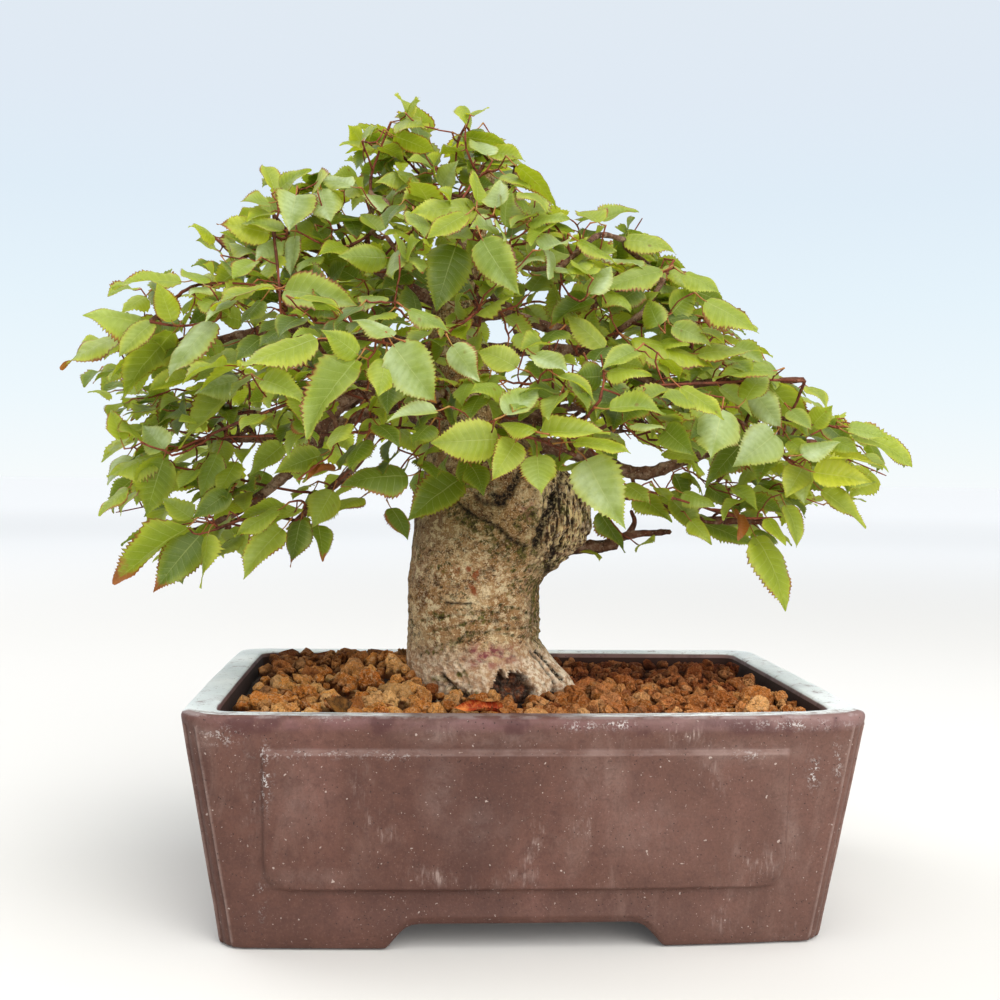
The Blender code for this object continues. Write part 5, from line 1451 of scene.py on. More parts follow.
# Shoots that show: places along each in the same picture, and how far behind the
# leaves' surface each lies (mm)
SHOOTS = [
    ([(371, 200), (371, 178), (378, 155), (391, 122)], 3), ([(455, 170), (458, 142), (466, 125)], 2), ([(262, 262), (240, 257), (214, 237)], 4),
    ([(281, 316), (278, 271), (274, 236), (274, 215)], 5), ([(285, 405), (242, 421), (205, 437), (166, 454)], 6),
    ([(338, 434), (301, 435), (225, 437)], 14), ([(300, 492), (268, 486), (220, 475), (175, 467)], 8),
    ([(619, 330), (641, 314), (654, 295), (674, 260)], 2), ([(650, 325), (682, 322), (734, 324)], 3),
    ([(640, 386), (710, 383), (765, 380), (805, 381)], 1), ([(630, 486), (680, 500), (725, 514)], 6),
    ([(653, 501), (699, 520), (720, 523)], 5), ([(720, 510), (746, 518), (781, 517)], 3), ([(393, 345), (358, 338), (317, 340)], 2),
    ([(498, 439), (520, 437), (540, 440), (575, 455)], 1), ([(540, 398), (505, 415), (485, 425)], 2),
    ([(600, 400), (604, 378), (601, 355)], 2), ([(284, 290), (245, 284), (203, 284), (182, 292)], 4),
    ([(182, 292), (150, 322), (122, 335)], 3), ([(214, 322), (180, 326), (150, 322)], 5), ([(240, 520), (200, 534), (188, 528)], 3),
    ([(848, 427), (820, 425), (790, 420), (760, 412)], 3), ([(803, 467), (790, 460), (770, 450)], 2), ([(680, 387), (722, 409), (745, 425)], 3),
    ([(350, 246), (372, 232), (388, 205), (371, 195)], 5), ([(476, 207), (470, 225), (480, 240)], 4), ([(516, 166), (495, 160), (480, 170), (468, 190)], 4),
    ([(624, 240), (600, 235), (580, 250), (560, 268)], 5), ([(296, 195), (290, 215), (286, 238)], 5), ([(301, 519), (305, 508), (320, 500)], 3),
]

CANOPY = [(62, 370), (84, 316), (113, 284), (150, 272), (184, 270), (190, 226), (242, 200), (258, 164), (318, 166), (345, 148), (348, 126), (382, 128), (396, 99), (420, 104), (437, 152), (456, 128), (464, 106), (486, 112), (492, 140), (524, 158), (556, 186), (566, 212), (572, 240), (600, 212), (638, 213), (676, 252), (722, 292), (759, 333), (757, 346), (800, 378), (826, 402), (850, 420), (886, 438), (908, 466), (882, 482), (866, 526), (832, 505), (798, 545), (786, 560), (760, 556), (748, 546), (705, 545), (672, 520), (650, 538), (625, 552), (600, 540), (585, 500), (560, 480), (500, 478), (470, 500), (440, 505), (410, 540), (400, 500), (345, 498), (325, 555), (300, 540), (270, 540), (245, 575), (240, 545), (205, 588), (155, 590), (116, 580), (118, 545), (160, 528), (98, 514), (112, 480), (96, 470), (104, 430), (62, 380)]
GAPS = [
    [(338, 498), (404, 496), (404, 560), (338, 560)], [(228, 434), (272, 440), (270, 466), (242, 470)], [(630, 444), (656, 444), (656, 472), (632, 472)],
    [(596, 500), (640, 505), (660, 545), (598, 575)], [(332, 410), (346, 410), (346, 432), (332, 432)], [(556, 326), (574, 326), (574, 352), (556, 352)],
    [(480, 328), (512, 330), (512, 343), (480, 340)], [(262, 500), (292, 490), (292, 515), (262, 520)],
]


def in_polygon(x, y, poly):
    inside = False
    j = len(poly) - 1
    for i in range(len(poly)):
        xi, yi = poly[i]
        xj, yj = poly[j]
        if (yi > y) != (yj > y) and x < (xj - xi) * (y - yi) / (yj - yi) + xi:
            inside = not inside
        j = i
    return inside


def crown_depth(px, py, shrink=0.93):
    """Distance along the line of sight to the crown's outer surface, and the mass it meets."""
    d = ray(px, py)
    o = (CAM - MASS_C) / MASS_H
    v = d / MASS_H
    a = (v * v).sum(1)
    b = (o * v).sum(1)
    c = (o * o).sum(1) - shrink**2
    disc = b * b - a * c
    hit = disc > 0
    if hit.any():
        t = np.where(hit, (-b - np.sqrt(np.maximum(disc, 0))) / a, 1e9)
        k = int(np.argmin(t))
        return t[k], k
    t = -b / a
    m = ((o + t[:, None] * v) ** 2).sum(1)
    k = int(np.argmin(m))
    return t[k], k


def nearest_mass(p):
    return int(np.argmin((((p - MASS_C) / MASS_H) ** 2).sum(1)))


VEINS = 10


class LeafShape:
    """One blade in its own plane: rows follow the side veins from the midrib to the teeth."""

    def __init__(self, rows_per_vein, seed, across=3):
        rng = np.random.RandomState(seed)
        rows = VEINS * rows_per_vein
        t = np.linspace(0, 1, rows + 1)
        s0, a = 0.315 + 0.04 * rng.uniform(-1, 1), 0.50
        b = a * (1 - s0) / s0
        teeth = {4: [1.0, -0.75, 0.55, -0.85], 3: [1.0, -0.7, -0.15], 2: [1.0, -0.9]}[rows_per_vein]
        lead = {4: [0.016, -0.006, 0.008, -0.004], 3: [0.012, -0.005, 0.0], 2: [0.010, -0.004]}[rows_per_vein]
        k = np.arange(rows + 1) % rows_per_vein
        us = np.array([0, 0.36, 0.72, 1.0]) if across == 3 else np.array([0, 0.58, 1.0])
        S, X, T, U = [], [], [], []
        for side in (-1, 1):
            sm = t + 0.15 * np.sin(np.pi * t) * (1 - 0.3 * t)
            w = np.where((sm > 0) & (sm < 1), np.power(np.clip(sm / s0, 1e-9, None), a) * np.power(np.clip((1 - sm) / (1 - s0), 0, None), b), 0.0)
            w *= 1 - 0.26 * smoothstep(0.66, 0.97, sm)
            w *= 0.315 * (1 + 0.06 * rng.uniform(-1, 1))
            scale = np.sqrt(np.clip(w / 0.29, 0, 1)) * np.clip((1 - sm) * 6, 0, 1)
            big = np.repeat(rng.uniform(0.45, 1.5, VEINS + 1), rows_per_vein)[: rows + 1]
            tooth = np.array(teeth)[k] * 0.0235 * scale * big * rng.uniform(0.7, 1.3, rows + 1)
            w = np.maximum(w + tooth, 0)
            sm = sm + np.array(lead)[k] * scale * rng.uniform(0.6, 1.4, rows + 1)
            w[0] = w[-1] = 0
            sm[0], sm[-1] = 0, 1
            for j, u in enumerate(us):
                if side == 1 and j == 0:
                    continue
                S.append(t * (1 - u) + sm * u + 0.012 * math.sin(math.pi * u) * np.sin(np.pi * t))
                X.append(side * u * w)
                T.append(t)
                U.append(np.full(rows + 1, side * u))
        # columns ordered left to right
        c = len(us)
        order = list(range(c - 1, -1, -1)) + list(range(c, 2 * c - 1))
        mid = c - 1
        self.S, self.X, self.T, self.U = (np.stack([A[i] for i in order], axis=1) for A in (S, X, T, U))
        R, C = self.S.shape
        faces = []
        for i in range(R - 1):
            for j in range(C - 1):
                q = [i * C + j, i * C + j + 1, (i + 1) * C + j + 1, (i + 1) * C + j]
                if i == 0:
                    q = [mid, (i + 1) * C + j + 1, (i + 1) * C + j]
                elif i == R - 2:
                    q = [i * C + j, i * C + j + 1, (R - 1) * C + mid]
                faces.append(q)
        # the two ends are single points: leave out the other copies
        used = sorted({k for f in faces for k in f})
        back = {k: i for i, k in enumerate(used)}
        self.used = np.array(used)
        self.faces = [[back[k] for k in f] for f in faces]
        self.S, self.X, self.T, self.U = (A.ravel()[self.used] for A in (self.S, self.X, self.T, self.U))
        self.uv = np.column_stack([0.5 + 0.5 * self.U, self.T])

    def form(self, length, width, fold, curl, twist, ripple, wave, phase, bend, droop=0.0, dent=0.0, seed=0.0, roll=0.0):
        """The blade bent into shape: x across, y along, z up, in mm, its base at the origin."""
        s, u, t = self.S, np.abs(self.U), self.T
        x = self.X * width * length
        z = np.abs(x) * math.sin(fold) * (1 - 0.30 * u)
        x = x * math.cos(fold)
        z = z - droop * x * x / max(0.3 * length, 1e-6)
        if roll:
            # the sides roll up towards each other, as a drying blade does
            r = 0.20 * length / roll
            ang = x / r
            x, z = r * np.sin(ang), z * 0.2 + r * (1 - np.cos(ang))
        env = np.sin(np.pi * np.clip(u * 1.08, 0, 1)) ** 0.8
        z = z + ripple * env * (0.5 - 0.5 * np.cos(2 * np.pi * VEINS * t)) * np.clip(4 * (1 - t), 0, 1)
        z = z + wave * u**2 * np.sin(2 * np.pi * (1.3 * s + phase) + np.sign(self.U) * (0.9 + 2 * phase)) * np.clip(5 * s, 0, 1)
        if dent:
            z = z + dent * noise3(np.column_stack([self.X * length * 0.22, s * length * 0.22, np.zeros_like(s)]), 1.0, seed) * (0.4 + 0.6 * u)
        # the midrib bends down towards the tip
        grid = np.linspace(0, 1.02, 60)
        ang = curl * grid**1.35
        yy = np.concatenate([[0], np.cumsum(np.cos((ang[1:] + ang[:-1]) / 2) * np.diff(grid))])
        zz = np.concatenate([[0], np.cumsum(-np.sin((ang[1:] + ang[:-1]) / 2) * np.diff(grid))])
        a = np.interp(s, grid, ang)
        y0, z0 = np.interp(s, grid, yy) * length, np.interp(s, grid, zz) * length
        tw = twist * s
        xr = x * np.cos(tw) - z * np.sin(tw)
        zr = x * np.sin(tw) + z * np.cos(tw)
        px = xr + bend * length * s * s
        py = y0 + zr * np.sin(a)
        pz = z0 + zr * np.cos(a)
        chord = np.array([bend * length, yy[-2] * length, zz[-2] * length])
        return np.column_stack([px, py, pz]), chord


def leaf_tints(code, rng):
    """Two triples: (random, lime, brown edge) and (blue painted sheen, dark green and painted shade, scorched tip)."""
    lime = {"g": 0.34, "b": 0.22, "l": 0.70, "y": 1.0, "d": 0.08, "u": 0.42, "r": 0.5, "o": 0.5}[code[0]]
    # painted sheen: how much reflected sky is painted on each kind of leaf
    blue = {"b": 0.85, "g": 0.18, "l": 0.10}.get(code[0], 0.0)
    # dark: a deeper green, partly painted shade
    dark = {"d": 0.80, "u": 0.30, "g": 0.12}.get(code[0], 0.0)
    brown = rng.uniform(0.6, 1.0) if "r" in code else (0.6 if "o" in code else (rng.uniform(0.1, 0.7) if rng.uniform() < 0.62 else 0.0))
    tip = 0.95 if "o" in code else (rng.uniform(0.3, 0.75) if rng.uniform() < 0.14 else 0.0)
    if code == "o":
        brown, tip, dark = 1.0, 3.2, 0.2
    j = rng.uniform(-0.16, 0.16)
    return (rng.uniform(), float(np.clip(lime + j, 0, 1.1)), brown), (float(np.clip(blue + rng.uniform(-0.1, 0.1), 0, 1)), float(np.clip(dark + rng.uniform(-0.1, 0.1), 0, 1)), tip)


class Leaf:
    pass


def shape_leaf(shape, base, tip, normal, width, rng, fold=None, curl=None, tints=None, roll=0.0):
    """A leaf between two points, with its upper face towards the given normal."""
    leaf = Leaf()
    fold = rng.uniform(0.20, 0.52) if fold is None else fold
    curl = rng.uniform(0.25, 0.85) if curl is None else curl
    want = tip - base
    dist = np.linalg.norm(want)
    args = dict(width=width, fold=fold, curl=curl, twist=rng.uniform(-0.45, 0.45), phase=rng.uniform(), bend=rng.uniform(-0.08, 0.08))
    _, chord = shape.form(1.0, ripple=0, wave=0, **args)
    length = dist / np.linalg.norm(chord)
    big = length / 17
    pts, chord = shape.form(length, ripple=0.07 * big, wave=rng.uniform(0.25, 0.95) * big, droop=rng.uniform(-0.25, 0.75), dent=0.55 * big, seed=rng.uniform(0, 90), roll=roll, **args)
    ey = chord / np.linalg.norm(chord)
    ez = np.array([0.0, 0.0, 1.0])
    ez = unit(ez - ey * (ez @ ey))
    ex = np.cross(ey, ez)
    wy = unit(want)
    wz = unit(normal - wy * (normal @ wy))
    wx = np.cross(wy, wz)
    rot = np.outer(wx, ex) + np.outer(wy, ey) + np.outer(wz, ez)
    leaf.pts = pts @ rot.T + base
    leaf.faces = shape.faces
    leaf.uv = shape.uv
    leaf.base = base
    leaf.dir = rot @ np.array([0.0, 1.0, 0.0])
    leaf.up = rot @ np.array([0.0, 0.0, 1.0])
    leaf.length = length
    leaf.mid = (base + tip) / 2
    leaf.tints = tints
    return leaf


def leaf_by_sight(spec, rng, shape, behind=0.0):
    """A leaf that fills the given outline in the picture, bent and turned to suit."""
    bx, by, tx, ty, w, code = spec
    mx, my = (bx + tx) / 2, (by + ty) / 2
    t, k = crown_depth(mx, my)
    d = ray(mx, my)
    mid = CAM + d * t
    lift = {"d": 8.0, "u": 5.0}.get(code[0], -1.0) + rng.uniform(-2.5, 2.5)
    if w >= 28 and code[0] not in "du":
        lift -= 4.0
    if code in ("dr", "do", "uo"):
        lift -= 4.0
    y = max(mid[1] + lift + behind, -104)
    scale = (y - CAM[1]) / d[1] / FOCAL  # mm per picture unit there
    proj = math.hypot(tx - bx, ty - by) * scale
    seen = w * scale
    length = max(proj * 1.02, seen / 0.66, min(12.0 + rng.uniform(0, 2.5), 2.2 * proj + 4.0))
    length = min(length, max(proj * 1.02, 25.0))
    out = math.sqrt(max(length**2 - proj**2, 0))
    sign = 1 if code[0] == "u" else -1
    if by > ty + 4 and code[0] != "u":
        sign = 1 if rng.uniform() < 0.6 else -1
    dy = sign * out
    base = at_depth(bx, by, y - dy / 2)
    tip = at_depth(tx, ty, y + dy / 2)
    a = unit(tip - base)
    c = unit(CAM - (base + tip) / 2)
    cp = unit(c - a * (c @ a))
    bp = np.cross(a, cp)
    if bp[2] < 0:
        bp = -bp
    roll = rng.uniform(1.6, 2.2) if code == "o" else 0.0
    fold = rng.uniform(0.12, 0.50)
    full = 0.60 * length * math.cos(fold)
    cosp = float(np.clip(seen / full, 0.12, 1.0))
    sinp = math.sqrt(1 - cosp**2)
    width = float(np.clip(seen / full, 1.0, 1.22)) * rng.uniform(0.97, 1.06)
    face = -1 if code[0] == "u" else 1
    n = face * cosp * cp + sinp * bp
    leaf = shape_leaf(shape, base, tip, n, width, rng, fold=fold, curl=rng.uniform(0.15, 0.8), tints=leaf_tints(code, rng), roll=roll)
    leaf.mass = nearest_mass(leaf.mid)
    leaf.hero = True
    return leaf


def viewer_leaves(rng, shapes):
    return [leaf_by_sight(spec, rng, shapes["fine"][rng.randint(len(shapes["fine"]))]) for spec in LEAVES]


def inner_leaves(rng, shapes):
    """Leaves of the second rank, seen between those in front."""
    leaves = []
    hub = np.array([478.0, 330.0])
    step = 23.5
    for gy in np.arange(112, 600, step):
        for gx in np.arange(66, 912, step):
            px, py = gx + rng.uniform(-9, 9), gy + rng.uniform(-9, 9)
            away = np.array([px, py]) - hub
            away /= max(np.linalg.norm(away), 1)
            way = away + np.array([0, rng.uniform(0.1, 0.9)]) + rng.normal(size=2) * 0.5
            way /= max(np.linalg.norm(way), 1e-6)
            size = rng.uniform(18, 38)
            bx, by = px - way[0] * size / 2, py - way[1] * size / 2
            tx, ty = px + way[0] * size / 2, py + way[1] * size / 2
            spots = [(px, py), (bx, by), (tx, ty), (px + way[1] * 9, py - way[0] * 9), (px - way[1] * 9, py + way[0] * 9)]
            if not all(in_polygon(x, y, CANOPY) for x, y in spots):
                continue
            if any(in_polygon(x, y, g) for g in GAPS for x, y in spots):
                continue
            # mostly the dark kind, as painted shade deep in the crown
            code = str(rng.choice(["d", "d", "d", "g", "g", "u", "dr", "l", "gr", "ur"]))
            spec = (bx, by, tx, ty, size * rng.uniform(0.34, 0.72), code)
            leaf = leaf_by_sight(spec, rng, shapes["coarse"][rng.randint(len(shapes["coarse"]))], behind=rng.uniform(9.0, 26.0))
            leaves.append(leaf)
    return leaves


CORE = np.array([-14.0, 0.0, 150.0])


def may_fill(p, margin_ok=True):
    x, y, _ = project(p)
    x, y = float(x[0]), float(y[0])
    if not in_polygon(x, y, CANOPY):
        return False
    return not any(in_polygon(x, y, g) for g in GAPS)


FILL = {
    "foliage_left_low": 6, "foliage_left_mid": 9, "foliage_left_high": 8, "foliage_top_left": 7, "foliage_front_left": 4, "foliage_front": 4,
    "foliage_right_low": 6, "foliage_right_mid": 9, "foliage_right_high": 12, "foliage_top_right": 12, "foliage_apex": 13, "foliage_front_high": 3,
    "foliage_back_left": 19, "foliage_back_right": 22, "foliage_back_high": 18,
}


def fill_shoots(rng, shapes):
    """Shoots with alternate leaves for the sides, the back and the inside of the crown."""
    shoots = []
    for name, count in FILL.items():
        k = MASS_NAMES.index(name)
        c, h = MASS_C[k], MASS_H[k]
        made, tries = 0, 0
        while made < count and tries < 400:
            tries += 1
            u = unit(rng.normal(size=3))
            outwards = unit(c - CORE)
            if u @ outwards < -0.35 or u[2] < -0.55:
                continue
            if u[1] < -0.35 and rng.uniform() < 0.75:
                continue
            inner = u[1] < -0.1
            reach = rng.uniform(0.62, 0.80) if inner else rng.uniform(0.84, 0.98)
            end = c + h * u * reach
            start = c + h * u * rng.uniform(0.1, 0.35) - outwards * 8
            # stay out of the other masses' far sides and inside the crown as seen
            if not may_fill(end) or not may_fill(start * 0.4 + end * 0.6):
                continue
            if any(np.linalg.norm(end - s["end"]) < 13 for s in shoots):
                continue
            length = np.linalg.norm(end - start)
            if length > 34:
                start = end - (end - start) / length * 34
            sag = np.array([0, 0, 4.0])
            pts = smooth_path([start, (start + end) / 2 + sag + rng.normal(size=3) * 1.5, end], 7)
            leaves = []
            fr = np.linspace(0.30, 1.0, rng.randint(5, 8))
            side = 1 if rng.uniform() < 0.5 else -1
            along = unit(pts[-1] - pts[0])
            across = unit(np.cross(along, (0.1, 0.05, 1.0)))
            for q, f in enumerate(fr):
                i = f * (len(pts) - 1)
                i0 = int(min(i, len(pts) - 2))
                p = pts[i0] + (pts[i0 + 1] - pts[i0]) * (i - i0)
                side = -side
                terminal = q == len(fr) - 1
                a = unit(along * (1.0 if terminal else rng.uniform(0.35, 0.7)) + across * side * (0.15 if terminal else rng.uniform(0.6, 0.95)) + np.array([0, 0, -1]) * rng.uniform(0.15, 0.75) + rng.normal(size=3) * 0.12)
                size = rng.uniform(14.0, 20.5) * (0.75 if q == 0 else 1.0) * (0.82 if terminal else 1.0)
                stalk = rng.uniform(2.2, 3.8)
                base = p + unit(a + np.array([0, 0, 0.4])) * stalk
                tip = base + a * size
                if tip[1] > 112 or not may_fill(tip) or not may_fill((base + tip) / 2):
                    continue
                if name not in ("foliage_back_left", "foliage_back_right", "foliage_back_high") and inner and ((tip - c) / h @ ((tip - c) / h)) > 0.95:
                    continue
                n = unit(np.array([0, 0, 1.0]) + 0.55 * unit(tip - CORE) + rng.normal(size=3) * 0.22)
                # inner leaves are mostly the dark kind, as painted shade deep in the crown
                code = rng.choice(["g", "g", "b", "l", "d", "gr", "lr", "l"] if not inner else ["d", "d", "g", "dr"])
                kind = "coarse" if inner or name.startswith("foliage_back") and q % 2 else "plain"
                shape = shapes[kind][rng.randint(len(shapes[kind]))]
                leaf = shape_leaf(shape, base, tip, n, rng.uniform(0.95, 1.1), rng, tints=leaf_tints(str(code), rng))
                leaf.mass = k
                leaf.hero = False
                leaf.node = p
                leaves.append(leaf)
            if len(leaves) >= 2:
                shoots.append({"pts": pts, "end": end, "leaves": leaves, "mass": k})
                made += 1
    return shoots


class Wood:
    """The branching wood: every path grows from a point of an earlier one."""

    def __init__(self):
        self.pos = np.zeros((0, 3))
        self.dir = np.zeros((0, 3))
        self.parent = np.zeros(0, int)
        self.load = np.zeros(0)
        self.base = np.zeros(0)
        self.stem = np.zeros(0, int)
        self.paths = []

    def append(self, pts, parent, base, stem):
        n0 = len(self.pos)
        pts = np.asarray(pts, float)
        d = np.gradient(pts, axis=0) if len(pts) > 1 else np.zeros_like(pts)
        d /= np.maximum(np.linalg.norm(d, axis=1), 1e-9)[:, None]
        par = np.concatenate([[parent], n0 + np.arange(len(pts) - 1)]).astype(int)
        self.pos = np.concatenate([self.pos, pts])
        self.dir = np.concatenate([self.dir, d])
        self.parent = np.concatenate([self.parent, par])
        self.load = np.concatenate([self.load, np.zeros(len(pts))])
        self.base = np.concatenate([self.base, np.broadcast_to(base, (len(pts),))])
        self.stem = np.concatenate([self.stem, np.full(len(pts), stem)])
        return n0

    def nearest(self, p, heading, limit=None):
        """The best point to grow from: close, and not from further out than p itself."""
        way = p - self.pos
        dist = np.linalg.norm(way, axis=1)
        out = unit(p - CORE)
        cosine = (way @ out) / np.maximum(dist, 1e-6)
        head = (way @ heading) / np.maximum(dist, 1e-6)
        cost = dist * (1 + 0.75 * (1 - cosine) + 0.45 * (1 - head)) + 2.0 * (self.base < 0.01) * 0
        cost = np.where(dist < 1.2, cost + 3, cost)
        return int(np.argmin(cost)), float(dist[int(np.argmin(cost))])

    def grow(self, target, heading, rng, bendy=1.0):
        """A new shoot from the nearest wood to a target that it reaches along a heading."""
        j, dist = self.nearest(target, heading)
        start = self.pos[j]
        straight = unit(target - start)
        leave = unit(0.30 * self.dir[j] + straight + 0.08 * rng.normal(size=3))
        arrive = unit(0.45 * unit(heading) + straight)
        steps = max(2, int(dist / 2.2))
        t = np.linspace(0, 1, steps + 1)[:, None]
        # the shoot keeps a little inside the leaves that it feeds
        dip = unit(CORE - (start + target) / 2) * min(dist, 40.0)
        c1 = start + leave * dist * 0.33 + dip * 0.12
        c2 = target - arrive * dist * 0.33 + dip * 0.16
        pts = (1 - t) ** 3 * start + 3 * (1 - t) ** 2 * t * c1 + 3 * (1 - t) * t * t * c2 + t**3 * target
        if steps > 3:
            wob = rng.normal(size=(steps + 1, 3)) * 0.13 * bendy
            zig = np.where((np.arange(steps + 1) // 3) % 2 == 0, 1.0, -1.0)[:, None] * unit(np.cross(straight, rng.normal(size=3)))
            wob = wob + 0.26 * zig
            wob[0] = wob[-1] = 0
            pts = pts + wob
        n0 = self.append(pts[1:], j, 0.0, self.stem[j])
        self.paths.append((j, n0, len(pts) - 1))
        return len(self.pos) - 1

    def carry(self, node, amount=1.0):
        while node >= 0:
            self.load[node] += amount
            node = self.parent[node]


def build_crown(rng):
    shapes = {"fine": [LeafShape(4, s) for s in range(1, 8)], "plain": [LeafShape(3, s, 2) for s in range(11, 17)], "coarse": [LeafShape(2, s, 2) for s in range(21, 26)]}
    leaves = viewer_leaves(rng, shapes) + inner_leaves(rng, shapes)
    shoots = fill_shoots(rng, shapes)
    wood = Wood()
    stem_names = list(STEMS)
    # Main stems and the leader
    leader = np.array([((trunk_section(z)[0] + trunk_section(z)[1]) / 2, (trunk_section(z)[2] + trunk_section(z)[3]) / 2, z) for z in range(150, 249, 3)])
    wood.append(leader, -1, 3.0, -1)
    for k, name in enumerate(stem_names):
        if name == "stub_right":
            continue
        for run in STEMS[name]:
            path = smooth_path(run[2], 5)
            wood.append(path[3:], 0, np.linspace(run[0], run[1], len(path) - 3), k)
    stem_nodes = len(wood.pos)
    # Shoots placed by sight
    placed = []
    for line, behind in SHOOTS:
        pts = []
        for px, py in line:
            t, k = crown_depth(px, py)
            y = min((CAM + ray(px, py) * t)[1], 30) + behind + 2.5
            pts.append((px, py, y))
        ys = np.array([p[2] for p in pts])
        ys = np.convolve(np.concatenate([[ys[0]], ys, [ys[-1]]]), [0.25, 0.5, 0.25], "valid")
        pts = np.array([at_depth(px, py, y) for (px, py, _), y in zip(pts, ys)])
        # the end nearer the wood that is there comes first
        d0 = np.linalg.norm(wood.pos - pts[0], axis=1).min()
        d1 = np.linalg.norm(wood.pos - pts[-1], axis=1).min()
        if d1 < d0:
            pts = pts[::-1]
        placed.append(smooth_path(list(pts), 6))
    placed.sort(key=lambda p: np.linalg.norm(wood.pos[:stem_nodes] - p[0], axis=1).min())
    for path in placed:
        end = wood.grow(path[0], unit(path[1] - path[0]), rng)
        n0 = wood.append(path[1:], end, 0.0, wood.stem[end])
        wood.paths.append((end, n0, len(path) - 1))
        wood.carry(len(wood.pos) - 1, 1.5)
    # Shoots of the sides and the back, the inner ones first
    shoots.sort(key=lambda s: np.linalg.norm(wood.pos[:stem_nodes] - s["pts"][0], axis=1).min())
    for s in shoots:
        end = wood.grow(s["pts"][0], unit(s["pts"][1] - s["pts"][0]), rng)
        n0 = wood.append(s["pts"][1:], end, 0.0, wood.stem[end])
        wood.paths.append((end, n0, len(s["pts"]) - 1))
        for leaf in s["leaves"]:
            span = np.arange(n0, n0 + len(s["pts"]) - 1)
            j = int(span[np.argmin(np.linalg.norm(wood.pos[span] - leaf.node, axis=1))])
            leaf.join = j
            wood.carry(j)
            leaves.append(leaf)
    # Leaves placed by sight: nearest to the wood first, each on its own short stalk
    order = [lf for lf in leaves if lf.hero]
    dists = {id(lf): np.linalg.norm(wood.pos - lf.base, axis=1).min() for lf in order}
    order.sort(key=lambda lf: dists[id(lf)])
    for leaf in order:
        stalk = min(4.2, 2.4 + 0.1 * leaf.length)
        back = leaf.base - unit(leaf.dir * 0.9 + np.array([0, 0, -0.25])) * stalk
        j, dist = wood.nearest(back, leaf.dir)
        if dist > 3.0:
            j = wood.grow(back, leaf.dir, rng)
        leaf.join = j
        wood.carry(j)
    return leaves, wood, stem_nodes, stem_names


def make_leaves(leaves, mat):
    pieces = []
    for k, name in enumerate(MASS_NAMES):
        g = Gather()
        for leaf in leaves:
            if leaf.mass == k:
                g.add(leaf.pts, leaf.faces, uv=leaf.uv, leaf_a=leaf.tints[0], leaf_b=leaf.tints[1])
        piece = g.build("leaves_" + name[len("foliage_"):], mat)
        place(piece, name, slot="leaf_green")
        pieces.append(piece)
    return pieces


def radius_of(load):
    return 0.245 * np.maximum(load, 1.0) ** 0.38


